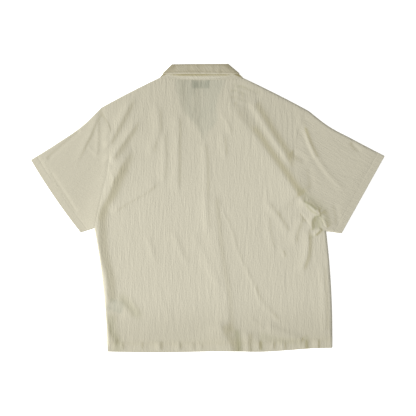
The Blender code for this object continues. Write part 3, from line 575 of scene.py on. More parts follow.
def inside(outline, x, y):
    """Whether each point lies inside a closed outline, by counting the edges that a ray crosses."""
    crossings = np.zeros(np.shape(x), int)
    for a, b in zip(outline, np.roll(outline, -1, axis=0)):
        spans = (a[1] > y) != (b[1] > y)
        rise = b[1] - a[1]
        crossing_x = a[0] + (y - a[1]) * (b[0] - a[0]) / (rise if rise else 1)
        crossings += spans & (x < crossing_x)
    return crossings % 2 == 1


def depth_in(outline, x, y):
    """Distance from a closed outline, above 0 inside it and below 0 outside it."""
    apart = distance_to(np.concatenate([outline, outline[:1]]), x, y)
    return np.where(inside(outline, x, y), apart, -apart)


def patch(left, right, bottom, top):
    """Grid of points between four edges (a Coons patch). Rows run from bottom to top, columns from left to
    right."""
    u_bottom = (bottom[:, 0] - bottom[0, 0]) / (bottom[-1, 0] - bottom[0, 0])
    v_left = (left[:, 1] - left[0, 1]) / (left[-1, 1] - left[0, 1])
    v_right = (right[:, 1] - right[0, 1]) / (right[-1, 1] - right[0, 1])
    u = u_bottom[None, :, None]
    v = (v_left[:, None] * (1 - u_bottom) + v_right[:, None] * u_bottom)[..., None]
    sides = (1 - u) * left[:, None] + u * right[:, None]
    ends = (1 - v) * bottom[None] + v * top[None]
    corners = (1 - v) * ((1 - u) * bottom[0] + u * bottom[-1]) + v * ((1 - u) * top[0] + u * top[-1])
    return sides + ends - corners


def noise(x, y, across, along, seed):
    """Smooth noise from -1 to 1: seeded random numbers at the corners of cells, eased between them."""
    lattice = np.random.default_rng(seed).uniform(-1, 1, (LATTICE, LATTICE))
    u, v = x / across + LATTICE / 2, y / along + LATTICE / 2
    i, j = np.floor(u).astype(int), np.floor(v).astype(int)
    s, t = eased(u - i), eased(v - j)
    left, right, below, above = i % LATTICE, (i + 1) % LATTICE, j % LATTICE, (j + 1) % LATTICE
    near = lattice[left, below] * (1 - s) + lattice[right, below] * s
    far = lattice[left, above] * (1 - s) + lattice[right, above] * s
    return near * (1 - t) + far * t


def crinkle(across, along):
    """Height from about -1 to 1 of the cloth's long irregular crinkles: noise n stretched along the grain
    and shifted sideways by slower noise, as the mean of itself and of its sharp crests (1 - crest |n|)."""
    moved = across + CRINKLE_SHIFT * noise(across, along, *CRINKLE_DRIFT)
    height = np.zeros(np.shape(across))
    for share, layer in CRINKLE_LAYERS:
        raw = noise(moved, along, *layer)
        height += share * (0.5 * raw + 0.5 * (1 - CRINKLE_CREST * np.abs(raw)))
    return height


def relief(x, y):
    """Height added by the folds: two half bells exp(-|d / width| to the power shape) across each fold's
    path, where d is the signed distance from it, faded in and out along it. Points far from a fold are left
    out."""
    total = np.zeros(np.shape(x))
    for _, widths, height, shape, fades, path in FOLDS:
        path = np.array(path) * MM
        widths = np.resize(widths, 4) * MM
        reach = FOLD_CUT_OFF * widths.max()
        low, high = path.min(axis=0) - reach, path.max(axis=0) + reach
        near = (x > low[0]) & (x < high[0]) & (y > low[1]) & (y < high[1])
        if not near.any():
            continue
        px, py = x[near], y[near]
        line = through(path, np.linspace(0, 1, 8 * len(path)))
        knots = travel(line)
        nearest = np.full(px.shape, np.inf)
        signed = np.zeros(px.shape)
        travelled = np.zeros(px.shape)
        for number, (a, b) in enumerate(zip(line[:-1], line[1:])):
            length = knots[number + 1] - knots[number]
            along = (b - a) / length
            s = np.clip((px - a[0]) * along[0] + (py - a[1]) * along[1], 0, length)
            apart = np.hypot(px - a[0] - s * along[0], py - a[1] - s * along[1])
            closer = apart < nearest
            side = np.sign((py - a[1]) * along[0] - (px - a[0]) * along[1])
            nearest = np.where(closer, apart, nearest)
            signed = np.where(closer, side * apart, signed)
            travelled = np.where(closer, knots[number] + s, travelled)
        share = travelled / knots[-1]
        left = widths[0] + (widths[2] - widths[0]) * share
        right = widths[1] + (widths[3] - widths[1]) * share
        fade_in, fade_out = np.array(fades) * MM
        fade = eased(travelled / fade_in) * eased((knots[-1] - travelled) / fade_out)
        half_bells = np.exp(-np.abs(signed / np.where(signed < 0, left, right)) ** shape)
        total[near] += height * MM * fade * half_bells
    return total


def crease_shadows(x, y, creases=CREASE_SHADOWS):
    """Painted shadow of the deep creases: a bell across each path."""
    share = np.zeros(np.shape(x))
    for _, width, depth, path in creases:
        apart = distance_to(through(np.array(path) * MM, EVEN), x, y)
        share = np.maximum(share, bell(apart, width * MM, depth))
    return share


def fall_to_right(x, y, height):
    """Slope at which a height falls towards +X, from its changes along the rows and the columns of a grid."""
    x_row, x_column = np.gradient(x)
    y_row, y_column = np.gradient(y)
    row, column = np.gradient(height)
    area = x_row * y_column - x_column * y_row
    return (column * y_row - row * y_column) / np.where(np.abs(area) < 1e-9, 1e-9, area)


def crease_shade(x, y):
    """Painted shadow, darker and warmer, in the deep creases and on the pulled strips, and painted shade
    where the folds fall steeply to their right, the side that faces away from the key light."""
    steep = rising(fall_to_right(x, y, relief(x, y)), *STEEP)
    share = STEEP_SHADE[0] + STEEP_SHADE[1] * rising(x, *STEEP_SHADE_RISE)
    return np.clip(share * steep + crease_shadows(x, y) + crease_shadows(x, y, PULLED_SHADED_STRIPS), 0, 1)


def groove(apart):
    """Depth of the line that a row of stitches presses into the cloth, at a distance from it."""
    return bell(apart, GROOVE_WIDTH, -GROOVE_DEPTH)


def centre_line(y):
    """X of the line of buttons at each height."""
    return BREAK[0] + (CENTRE_AT_HEM - BREAK[0]) * (BREAK[1] - y) / (BREAK[1] - HEM[0, 1])


def hem_height(x):
    """Y of the hem at each x."""
    return through(HEM, (x - HEM[0, 0]) / (HEM[-1, 0] - HEM[0, 0]))[:, 1]


def button_heights():
    """Y of each button, from the neck opening down."""
    return [BREAK[1] - FIRST_BUTTON_BELOW_BREAK - number * BUTTON_PITCH for number in range(BUTTON_COUNT)]


def graded(length, step, close_step, close_from, close_to):
    """Distances from 0 to a length, a step apart, or a close step apart between two of them."""
    at = np.linspace(0, length, 1201)
    close = eased((at - close_from) / (2 * step) + 1) * eased((close_to - at) / (2 * step) + 1)
    steps = step + (close_step - step) * close
    count = np.concatenate([[0], np.cumsum((at[1] - at[0]) / steps[1:])])
    return np.interp(np.linspace(0, count[-1], int(round(count[-1])) + 1), count, at)


def side_rows(length):
    """Fractions of the side seam at which the body has rows: close at the hem, its stitch line and the
    underarm."""
    stitched = HEM_WIDTH + STITCH_ROWS
    rest = length - stitched[-1]
    above = stitched[-1] + graded(rest, ROW_STEP, CLOSE_ROW_STEP, rest - CLOSE_BELOW_UNDERARM, rest)[1:]
    return np.concatenate([[0], FINE_STEPS, HEM_ROWS, stitched, above]) / length


def armhole_rows(length):
    """Fractions of the armhole at which the body has rows, close at the underarm and at the shoulder."""
    low = graded(length - FINE_STEPS[-1] - ROW_STEP, ROW_STEP, CLOSE_ROW_STEP, 0, CLOSE_ABOVE_UNDERARM)
    return np.concatenate([low, length - FINE_STEPS[::-1], [length]]) / length


SEAM_LENGTH = np.linalg.norm(LEFT.armhole[0] - HEM[0])
SIDE_ROWS = side_rows(SEAM_LENGTH)
ARMHOLE_ROWS = armhole_rows(travel(LEFT.armhole)[-1])


def side_seam(side, at):
    """Points of a side seam from the hem to the underarm."""
    return bowed(side.hem_corner, side.armhole[0], side.seam_bow, at)


def body_edge(side):
    """A side of the body from the hem to the shoulder tip."""
    return np.concatenate([side_seam(side, SIDE_ROWS)[:-1], through(side.armhole, ARMHOLE_ROWS)])


def rows_in_hem(side, margin):
    """How many rows of a body's side lie within its hem and a margin."""
    return int((SIDE_ROWS * np.linalg.norm(side.armhole[0] - side.hem_corner) < HEM_WIDTH + margin).sum())


def shoulder(side, at):
    """Points of a shoulder from its tip to the neck point."""
    return bowed(side.armhole[-1], side.neck_point, side.sign * SHOULDER_BOW, at)


def shoulder_columns(side, step):
    """Points of a shoulder a step apart, and closer at its tip."""
    return shoulder(side, spaced(np.linalg.norm(side.neck_point - side.armhole[-1]), step, fine_start=True))


def neck_curve(at):
    """The back neck seam from left to right."""
    return bowed(LEFT.neck_point, RIGHT.neck_point, -NECK_DIP, at)


NECK_SEAM = neck_curve(EVEN)
ROLLED_EDGES = [edge(side, EVEN) for side in SIDES for edge in (side_seam, shoulder)]
ARMHOLES = [through(side.armhole, EVEN) for side in SIDES]
HEM_LINE = through(HEM, EVEN)
NECK_GAP = through(GAP_OUTLINE, EVEN)


def at_height(roll, height):
    """Where a roll line passes a height, as a point and as a fraction of the line."""
    at = np.linspace(0, 1, CURVE_SAMPLES)
    points = through(roll, at)
    nearest = np.argmin(np.abs(points[:, 1] - height))
    return points[nearest], at[nearest]


def gorge(side):
    """Where the front neck seam ends on the roll line."""
    return at_height(side.roll, GORGE_HEIGHT)


def collar_end(side):
    """Where the collar ends on the roll line, a little above the gorge."""
    return at_height(side.roll, GORGE_HEIGHT + COLLAR_ABOVE_GORGE)


def neckline(side, at):
    """Front neck seam from the neck point to the gorge."""
    return bowed(side.neck_point, gorge(side)[0], -side.sign * NECKLINE_BOW, at)


def leaf_outline(side):
    """Outline of the collar leaf and lapel that lie under one front."""
    roll_line = through(side.roll, np.linspace(gorge(side)[1], 1, 8))
    corners = [side.roll[0], side.neck_point, side.leaf_middle, side.collar_point]
    return np.concatenate([corners, side.lapel_edge, roll_line[::-1]])


LEAVES = [leaf_outline(side) for side in SIDES]


def over_leaves(x, y):
    """1 over a collar leaf or lapel, fading to 0 further out."""
    share = np.zeros(np.shape(x))
    for outline in LEAVES:
        apart = np.maximum(-depth_in(outline, x, y), 0)
        share = np.maximum(share, 1 - eased((apart - LEAF_EVEN) / LEAF_FADE))
    return share


def over_buttons(x, y):
    """1 over a button, fading to 0 around it."""
    share = np.zeros(np.shape(x))
    for height in button_heights():
        apart = np.hypot(x - centre_line(height), y - height)
        share = np.maximum(share, 1 - eased((apart - BUTTON_EVEN) / BUTTON_FADE))
    return share


def lower_front_level(x, y):
    """Height of the left front, which lies on the floor, on the leaves or on a button."""
    leaf = ON_FLOOR + OVER_LEAF * over_leaves(x, y)
    button = ON_FLOOR + BUTTON_ROOM * over_buttons(x, y)
    return np.maximum(leaf, button)


def upper_front_level(x, y):
    """Height of the right front, which steps up over the left front's edge."""
    offset = x - centre_line(y)
    step = 1 - eased((offset - OVERLAP_CLEAR) / (OVERLAP_END - OVERLAP_CLEAR))
    below_break = 1 - eased((y - BREAK[1] - BREAK_EVEN) / OVERLAP_FADE)
    from_break = np.hypot(x - BREAK[0], y - BREAK[1])
    at_break = BREAK_CLEARANCE * (1 - eased((from_break - BREAK_EVEN) / BREAK_FADE))
    return lower_front_level(x, y) + OVERLAP_LIFT * step * below_break + at_break


def rolled(loft, rim, apart, width):
    """Height of a panel that rolls down to its rim over a quarter of an ellipse."""
    reach = np.clip(apart / width, 0, 1)
    return rim + (loft - rim) * np.sqrt(1 - (1 - reach) ** 2)


def gathers(x, y, from_neck, from_hem):
    """Height of the small gathers under the neck seam and of the puckers along the hem's stitches."""
    neck = np.cos(2 * np.pi * x / NECK_GATHER_PITCH + NECK_GATHER_SHIFT * noise(x, y, *NECK_GATHER_DRIFT))
    hem = noise(x, y, *HEM_PUCKERS)
    return neck * bell(from_neck, *NECK_GATHERS) + hem * bell(from_hem - HEM_GATHER_LINE, *HEM_GATHERS)


def back_level(x, y):
    """Height of the back: loft, folds, crinkles, gathers, even neck seam, hem and rolled edges."""
    cloth = bpy.context.scene.shirt_cloth
    from_hem = distance_to(HEM_LINE, x, y)
    from_neck = distance_to(NECK_SEAM, x, y)
    loft = HEM_LOFT + (LOFT - HEM_LOFT) * eased(from_hem / HEM_FADE) + relief(x, y)
    livelier = 1 + LIVELY_SHARE * rising(y, *LIVELY_UPWARDS) * rising(x, *LIVELY_TO_RIGHT)
    livelier = livelier * (1 - PULLED_SMOOTH * eased(crease_shadows(x, y, PULLED_SHADED_STRIPS) / PULLED_TONE))
    loft = loft + cloth.crinkle_height * livelier * crinkle(x, y)
    loft = loft + FAINT_GROOVE * groove(from_hem - HEM_WIDTH)
    loft = NECK_LEVEL + (loft - NECK_LEVEL) * eased(from_neck / NECK_FADE)
    loft = loft + gathers(x, y, from_neck, from_hem)
    for armhole in ARMHOLES:
        loft = loft + FAINT_GROOVE * groove(distance_to(armhole, x, y))
    apart = np.min([distance_to(edge, x, y) for edge in ROLLED_EDGES], axis=0)
    in_hem = 1 - eased((from_hem - HEM_WIDTH) / HEM_LIFT_FADE)
    front = lower_front_level(x, y)
    width = np.where(x < 0, LEFT.edge_width, RIGHT.edge_width)
    rim = front + RIM_LIFT + HEM_LIFT * in_hem
    return rolled(np.maximum(loft, front + BETWEEN_LAYERS), rim, apart, width)


def with_level(points, level):
    """Points of a plan with their heights."""
    return np.concatenate([points, np.asarray(level)[..., None]], axis=-1)


def turned(grid, rows, outer_side):
    """A grid with the cloth at its last rows folded back inside: half a circle round the edge, then the
    last rows again, one tuck in from the outer side."""
    along = np.gradient(grid, axis=0)
    across = np.gradient(grid, axis=1)
    normal = unit(np.cross(across, along)) * outer_side
    inner = grid - TUCK * normal
    outward = unit(grid[-1] - grid[-2])
    middle = (grid[-1] + inner[-1]) / 2
    angles = np.pi * np.array((0.25, 0.5, 0.75))[:, None, None]
    fold = middle + TUCK / 2 * (np.cos(angles) * normal[-1] + np.sin(angles) * outward)
    return np.concatenate([grid, fold, inner[::-1][:rows]])


def quads(index):
    """Corners of the four-sided faces between neighbours in the last two directions of a grid of point
    numbers."""
    corners = [index[..., :-1, :-1], index[..., :-1, 1:], index[..., 1:, 1:], index[..., 1:, :-1]]
    return np.stack(corners, axis=-1).reshape(-1, 4)


def placed(name, data):
    """A new object in the scene."""
    piece = bpy.data.objects.new(name, data)
    bpy.context.scene.collection.objects.link(piece)
    return piece


def sheet_object(name, grid, ring=False):
    """A mesh object of four-sided faces on a grid of points, closed round its second direction for a ring."""
    rows, columns = grid.shape[:2]
    index = np.arange(rows * columns).reshape(rows, columns)
    if ring:
        index = np.concatenate([index, index[:, :1]], axis=1)
    faces = quads(index)
    mesh = bpy.data.meshes.new(name)
    mesh.vertices.add(rows * columns)
    mesh.vertices.foreach_set("co", np.ascontiguousarray(grid, np.float32).ravel())
    mesh.loops.add(faces.size)
    mesh.loops.foreach_set("vertex_index", faces.astype(np.int32).ravel())
    mesh.polygons.add(len(faces))
    mesh.polygons.foreach_set("loop_start", np.arange(0, faces.size, 4, dtype=np.int32))
    mesh.update(calc_edges=True)
    mesh.validate()
    mesh.shade_smooth()
    return placed(name, mesh)


def thread_object(name, rings, closed=False):
    """An object of round threads, from the rings of points along each one. A closed thread joins its end to
    its start, and the others get a cap at each end."""
    index = np.arange(rings[..., 0].size).reshape(rings.shape[:-1])
    wrapped = np.concatenate([index, index[..., :1]], axis=-1)
    if closed:
        faces = quads(np.concatenate([wrapped, wrapped[:, :1]], axis=1)).tolist()
    else:
        faces = quads(wrapped).tolist() + index[:, 0, ::-1].tolist() + index[:, -1].tolist()
    mesh = bpy.data.meshes.new(name)
    mesh.from_pydata(rings.reshape(-1, 3), [], faces)
    fixed = bmesh.new()
    fixed.from_mesh(mesh)
    bmesh.ops.recalc_face_normals(fixed, faces=fixed.faces)
    fixed.to_mesh(mesh)
    fixed.free()
    mesh.shade_smooth()
    material = bpy.data.materials.get("sewing thread")
    if material is None:
        colour = bpy.context.scene.shirt_sewing.thread_colour
        material = plain_material("sewing thread", colour, 0.6, 2 * MM, 0.05)
    return finish(placed(name, mesh), material, "cloth")


def tubes(paths, radius, closed):
    """Rings along paths: a circle of eight points square to the path at each of its points."""
    ahead = np.roll(paths, -1, axis=1) - np.roll(paths, 1, axis=1) if closed else np.gradient(paths, axis=1)
    ahead = unit(ahead)
    side = unit(np.cross(ahead, ASKEW))
    up = np.cross(side, ahead)
    angles = np.linspace(0, 2 * np.pi, 9)[:-1, None]
    return paths[:, :, None] + radius * (np.cos(angles) * side[:, :, None] + np.sin(angles) * up[:, :, None])


def stitch_row(name, path, lift):
    """Separate stitches along a path, lifted off it: each is a short five-sided thread that is thickest and
    highest at its middle."""
    sewing = bpy.context.scene.shirt_sewing
    knots = travel(path)
    pitch = sewing.stitch_length + sewing.stitch_gap
    starts = np.arange(pitch / 2, knots[-1] - pitch / 2, pitch)

    def on_path(distance):
        """Points of the path at the distances travelled."""
        return np.stack([np.interp(distance, knots, path[:, axis]) for axis in range(3)], axis=-1)

    ahead = unit(on_path(starts + pitch / 4) - on_path(starts - pitch / 4))
    side = unit(np.cross(ahead, (0, 0, 1)))
    up = np.cross(side, ahead)
    up = up * np.sign(up[:, 2:])
    middle, ahead, side, up = (values[:, None, None] for values in (on_path(starts), ahead, side, up))
    along, thickness, arch = STITCH_FORM.T[..., None, None]
    along = along * sewing.stitch_length
    thickness = thickness * sewing.thread_radius
    arch = arch * sewing.thread_radius
    angles = np.linspace(0, 2 * np.pi, 6)[:-1, None]
    rings = middle + along * ahead + (arch + thickness * np.sin(angles)) * up
    rings = rings + thickness * np.cos(angles) * side
    rings[..., 2] += lift
    return thread_object(name, rings)


def tone(piece, values, name="backing_and_shade"):
    """Stores how much darker the cloth is painted at each point, under the name given: the default, mixed
    towards a darker colour, holds the show-through over the labels and painted shade over the opening, in
    the deep creases and on the collar; "shade" holds painted shade at the hem, the shoulders, the sleeves
    and the collar; "crease" holds painted shadow in the creases and on the folds' flanks that face away
    from the key light."""
    stored = piece.data.attributes.new(name, "FLOAT", "POINT")
    stored.data.foreach_set("value", np.ascontiguousarray(values, np.float32).ravel())


def thicken(piece, thickness):
    """Gives a sheet its wall, half of it to each side, with sharp edges round its rims."""
    wall = piece.modifiers.new("wall", "SOLIDIFY")
    wall.thickness = thickness
    wall.offset = 0
    depsgraph = bpy.context.evaluated_depsgraph_get()
    walled = bpy.data.meshes.new_from_object(
        piece.evaluated_get(depsgraph), preserve_all_data_layers=True, depsgraph=depsgraph
    )
    piece.modifiers.clear()
    sheet = piece.data
    piece.data = walled
    bpy.data.meshes.remove(sheet)
    walled.name = piece.name
    walled.shade_smooth()
    walled.set_sharp_from_angle(angle=np.radians(55))
    return piece


def finish(piece, material, slot, *nodes):
    """Gives a piece its material and its place in the shirt's one body, and hides the solids that it stands
    for.
    """
    piece.data.materials.clear()
    piece.data.materials.append(material)
    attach(piece, "root")
    if nodes:
        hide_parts(*nodes)
    return piece


def soft_mask(outline, x, y, edge):
    """1 inside an outline and 0 outside it, eased over the width given."""
    return eased(0.5 + depth_in(outline, x, y) / edge)


def turned_by(angle, points):
    """Points of a plan turned about its origin."""
    cos, sin = np.cos(angle), np.sin(angle)
    return points @ np.array(((cos, sin), (-sin, cos)))


def rectangle(centre, size, turn):
    """Corners of a turned rectangle."""
    half = np.array(((-1, -1), (1, -1), (1, 1), (-1, 1))) * np.array(size) / 2
    return np.array(centre) + turned_by(turn, half)


def wire(node, inputs):
    """Sets the inputs of a shader node, each to a value or to the output that feeds it."""
    for name, value in inputs.items():
        if isinstance(value, bpy.types.NodeSocket):
            node.id_data.links.new(value, node.inputs[name])
        else:
            node.inputs[name].default_value = value
    return node


def add(tree, kind, inputs, **settings):
    """A new shader node with its settings and inputs."""
    node = tree.nodes.new(f"ShaderNode{kind}")
    for name, value in settings.items():
        setattr(node, name, value)
    return wire(node, inputs)


def rgba(colour, share=1.0):
    """A colour times a share, kept to 1, with its alpha."""
    return (*[min(1, value * share) for value in colour], 1)


def mixed(tree, factor, first, second, blend="MIX"):
    """The output of a node that mixes two colours."""
    inputs = {"Factor": factor, "A": first, "B": second}
    return add(tree, "Mix", inputs, data_type="RGBA", blend_type=blend).outputs["Result"]


def bumped(tree, height, strength, distance, below=None):
    """The output of a bump, on top of the one below it."""
    inputs = {"Height": height, "Strength": strength, "Distance": distance}
    if below:
        inputs["Normal"] = below
    return add(tree, "Bump", inputs).outputs["Normal"]


def new_material(name, values):
    """A material and its shader with the values given."""
    material = bpy.data.materials.new(name)
    material.use_nodes = True
    return material, wire(material.node_tree.nodes["Principled BSDF"], values)


def cloth_material(name, grain, colour, backing_and_shade_colour, fineness, depth):
    """Crinkled cotton: fine crinkles and a plain weave as bump, a slow drift of colour, and painted tones
    from the piece's attributes: show-through, painted shade and painted crease shadow. The grain runs at the
    angle given from +Y. Fineness scales the crinkles' pitch, and depth their height."""
    cloth = bpy.context.scene.shirt_cloth
    pitch = cloth.fine_crinkle_pitch * fineness
    height = cloth.fine_crinkle_height * depth
    surface = {"Roughness": 0.92, "Specular IOR Level": 0.25, "Sheen Weight": 0.12, "Sheen Roughness": 0.6}
    material, shader = new_material(name, surface)
    tree = material.node_tree
    place = add(tree, "TexCoord", {}).outputs["Object"]
    turn = add(tree, "Mapping", {"Vector": place, "Rotation": (0, 0, -grain)}).outputs["Vector"]

    def stretched(across, along, seed, detail, distortion=0):
        """Noise in cells of the given size, across and along the grain."""
        cells = {"Vector": turn, "Scale": (1 / across, 1 / along, 1 / across), "Location": (seed, seed, seed)}
        scaled = add(tree, "Mapping", cells).outputs["Vector"]
        inputs = {"Vector": scaled, "Scale": 1, "Detail": detail, "Distortion": distortion}
        return add(tree, "TexNoise", inputs).outputs["Fac"]

    def threads(direction):
        """Waves of the weave's threads in one direction."""
        scale = 1 / (cloth.weave_pitch * 2 * np.pi) * 2
        inputs = {"Vector": turn, "Scale": scale, "Distortion": 0.6, "Detail": 1}
        return add(tree, "TexWave", inputs, bands_direction=direction).outputs["Fac"]

    def worked(operation, *values):
        """The output of a node that works out a number."""
        return add(tree, "Math", dict(enumerate(values)), operation=operation).outputs["Value"]

    lines = worked("ABSOLUTE", worked("SUBTRACT", stretched(pitch, pitch * 9, 3.7, 2, 0.3), 0.5))
    puffs = stretched(pitch * 0.5, pitch * 0.95, 6.1, 1)
    weave = worked("MULTIPLY", threads("X"), threads("Y"))
    crinkled = bumped(tree, puffs, 1, height * 0.36, bumped(tree, lines, 1, height))
    drift = worked("MULTIPLY", stretched(35 * MM, 90 * MM, 8.1, 2), 0.5)
    slubs = worked("MULTIPLY_ADD", stretched(1.6 * MM, 22 * MM, 5.3, 2), 0.5, drift)
    dyed_and_shaded = mixed(tree, slubs, rgba(colour, 0.965), rgba(colour, 1.03))
    # Painted tones: show-through and painted shade mixed towards the backing colour, then painted shade and
    # painted crease shadow multiplied in
    tints = (
        ("backing_and_shade", backing_and_shade_colour, "MIX"),
        ("shade", SHADE_TINT, "MULTIPLY"),
        ("crease", CREASE_SHADOW_TINT, "MULTIPLY"),
    )
    for stored, tint, blend in tints:
        share = add(tree, "Attribute", {}, attribute_name=stored).outputs["Fac"]
        dyed_and_shaded = mixed(tree, share, dyed_and_shaded, rgba(tint), blend)
    wire(shader, {"Base Color": dyed_and_shaded, "Normal": bumped(tree, weave, 0.35, 0.06 * MM, crinkled)})
    return material


def shared_cloth(name="crinkled cotton", grain=0, backing_and_shade_colour=None, crinkles=(1.0, 1.0)):
    """The cloth's material on one grain, made once. Crinkles are their fineness and depth."""
    found = bpy.data.materials.get(name)
    if found:
        return found
    cloth = bpy.context.scene.shirt_cloth
    return cloth_material(name, grain, cloth.colour, backing_and_shade_colour or cloth.backing_and_shade_colour, *crinkles)


def plain_material(name, colour, roughness, spot, colour_range):
    """A smooth material whose colour drifts a little, in spots of the size given."""
    material, shader = new_material(name, {"Roughness": roughness})
    tree = material.node_tree
    place = add(tree, "TexCoord", {}).outputs["Object"]
    spots = add(tree, "TexNoise", {"Vector": place, "Scale": 1 / spot, "Detail": 3}).outputs["Fac"]
    drifting = mixed(tree, spots, rgba(colour, 1 - colour_range), rgba(colour, 1 + colour_range))
    wire(shader, {"Base Color": drifting, "Normal": bumped(tree, spots, 0.25, 0.1 * MM)})
    return material


def made(*pieces):
    """An operator's answer. It raises an error if a piece has no faces."""
    for piece in pieces:
        if not len(piece.data.polygons):
            raise RuntimeError(f"{piece.name} has no faces")
    return {"FINISHED"}


def colour_setting(name, description, default):
    """A colour of a property group."""
    return bpy.props.FloatVectorProperty(
        name=name, description=description, subtype="COLOR", size=3, default=default, min=0, max=1
    )


def length_setting(name, description, default, low, high):
    """A length of a property group."""
    return bpy.props.FloatProperty(
        name=name, description=description, unit="LENGTH", default=default, min=low, max=high, precision=5
    )


def power_setting(name, description, default, high, unit="NONE"):
    """A strength of light of a property group."""
    return bpy.props.FloatProperty(
        name=name, description=description, unit=unit, default=default, min=0, max=high
    )


class ShirtClothSettings(bpy.types.PropertyGroup):
    """Colour and crinkles of the cloth."""

    colour: colour_setting("Cloth colour", "Colour of the cotton", (0.449, 0.423, 0.332))
    # Colour of the show-through where no second layer backs the cloth, also used for painted shadow in the
    # deep creases
    backing_and_shade_colour: colour_setting(
        "Thin spots", "Colour where no second layer backs the cloth", (0.3, 0.315, 0.252)
    )
    crinkle_height: length_setting(
        "Crinkle height", "Height of the larger crinkles", 0.3 * MM, 0, 2 * MM
    )
    fine_crinkle_height: length_setting(
        "Fine crinkle height", "Height of the fine crinkles in the surface", 1.2 * MM, 0, 4 * MM
    )
    fine_crinkle_pitch: length_setting(
        "Fine crinkle pitch", "Distance between fine crinkles", 5.6 * MM, 1 * MM, 20 * MM
    )
    weave_pitch: length_setting(
        "Weave pitch", "Distance between threads of the weave", 0.8 * MM, 0.2 * MM, 3 * MM
    )


class ShirtSewingSettings(bpy.types.PropertyGroup):
    """Stitches, buttons and labels."""

    thread_colour: colour_setting("Thread colour", "Colour of the sewing thread", (0.45, 0.42, 0.33))
    button_colour: colour_setting("Button colour", "Colour of the buttons", (0.60, 0.54, 0.40))
    label_colour: colour_setting("Label colour", "Colour of the blank labels", (0.36, 0.36, 0.30))
    stitch_length: length_setting("Stitch length", "Length of one stitch", 2.3 * MM, 0.5 * MM, 10 * MM)
    stitch_gap: length_setting("Stitch gap", "Gap between stitches", 0.7 * MM, 0.1 * MM, 10 * MM)
    thread_radius: length_setting(
        "Thread radius", "Half the thickness of the thread", 0.18 * MM, 0.05 * MM, 1 * MM
    )


class ShirtStageSettings(bpy.types.PropertyGroup):
    """Camera, floor and light."""

    view_width: length_setting(
        "View width", "Width of the floor that the picture takes in", 416 * 2.55 * MM, 0.1, 10
    )
    camera_height: length_setting("Camera height", "Height of the camera above the floor", 3.2, 0.5, 20)
    floor_colour: colour_setting("Floor colour", "Colour of the floor", (0.9, 0.9, 0.9))
    floor_glow: power_setting("Floor glow", "Light that the lit floor gives by itself", 0.6, 10)
    surround: power_setting("Surround light", "Strength of the light from all round", 0.55, 10)
    key: power_setting("Key light", "Power of the soft light from the left", 890, 10000, "POWER")


class SHIRT_OT_back(bpy.types.Operator):
    """Make the back, one sheet from the hem, turned inside, to the shoulders and the neck seam"""

    bl_idname = "shirt.back"
    bl_label = "Back"

    def execute(self, context):
        neck = neck_curve(spaced(np.linalg.norm(RIGHT.neck_point - LEFT.neck_point), COLUMN_STEP))
        left_shoulder, right_shoulder = (shoulder_columns(side, COLUMN_STEP) for side in SIDES)
        top = np.concatenate([left_shoulder, neck[1:-1], right_shoulder[::-1]])
        across = (top[:, 0] - top[0, 0]) / (top[-1, 0] - top[0, 0])
        points = patch(body_edge(LEFT), body_edge(RIGHT), through(HEM, across), top)
        grid = with_level(points, back_level(points[..., 0], points[..., 1]))
        grid = turned(grid[::-1], rows_in_hem(LEFT, 1 * MM), -1)[::-1]
        piece = sheet_object("back_cloth", grid)
        self.shading(piece, grid[..., 0], grid[..., 1])
        finish(thicken(piece, CLOTH), shared_cloth(), "cloth", "back")
        line = through(HEM, np.linspace(0.012, 0.988, 400)) + (0, HEM_WIDTH)
        line = with_level(line, back_level(line[:, 0], line[:, 1]))
        stitches = stitch_row("back_hem_stitches", line, CLOTH / 2)
        return made(piece, stitches)

    @staticmethod
    def shading(piece, x, y):
        """Paints the back darker: show-through over the labels, painted shade over the opening, at the hem
        and the shoulders, and painted shadow in its creases.
        """
        label = soft_mask(rectangle(NECK_LABEL_CENTRE, NECK_LABEL_SIZE, 0), x, y, LABEL_EDGE)
        label = label * (0.95 + LABEL_STREAK * noise(x, y, *LABEL_STREAKS))
        care = soft_mask(rectangle(CARE_LABEL_CENTRE, CARE_LABEL_SIZE, CARE_LABEL_TURN), x, y, LABEL_EDGE)
        opening = soft_mask(NECK_GAP, x, y, OPENING_EDGE)
        opening = opening * (1 - OPENING_PALER_BELOW * rising(-y, *OPENING_FOOT))
        mottled = 1 + MOTTLE_SHARE * noise(x, y, *MOTTLE)
        # Show-through over the labels, painted shade over the opening and painted shadow in the deep creases
        thin = (OPENING_TONE * opening + LABEL_TONE * label + LABEL_TONE * care) * mottled
        tone(piece, np.clip(thin + CREASE_SHADOW_SHARE * crease_shadows(x, y), 0, 1))
        # Painted shade over the opening's left half, in stripes, and over the labels
        striped = 1 + OPENING_STRIPE * np.cos(2 * np.pi * (x - STRIPE_START) / STRIPE_PITCH)
        on_left = 1 - rising(x, *LEFT_HALF)
        thin_spot_shade = OPENING_TONE * opening * striped * on_left + LABEL_SHADE * label + CARE_LABEL_SHADE * care
        from_hem = distance_to(HEM_LINE, x, y)
        # Painted shade: darker towards the hem and towards the shoulders
        low = eased(1 - (from_hem - HEM_DARK[0]) / HEM_DARK[1])
        high = rising(y, *SHOULDER_DARK)
        tone(piece, np.clip(HEM_SHADE * low + SHOULDER_SHADE * high + thin_spot_shade * mottled, 0, 1), "shade")
        # Painted crease shadow, and painted shade along the hem's pressed line
        tone(piece, crease_shade(x, y) + bell(from_hem - PRESSED_LINE, *PRESSED_HEM_SHADE), "crease")


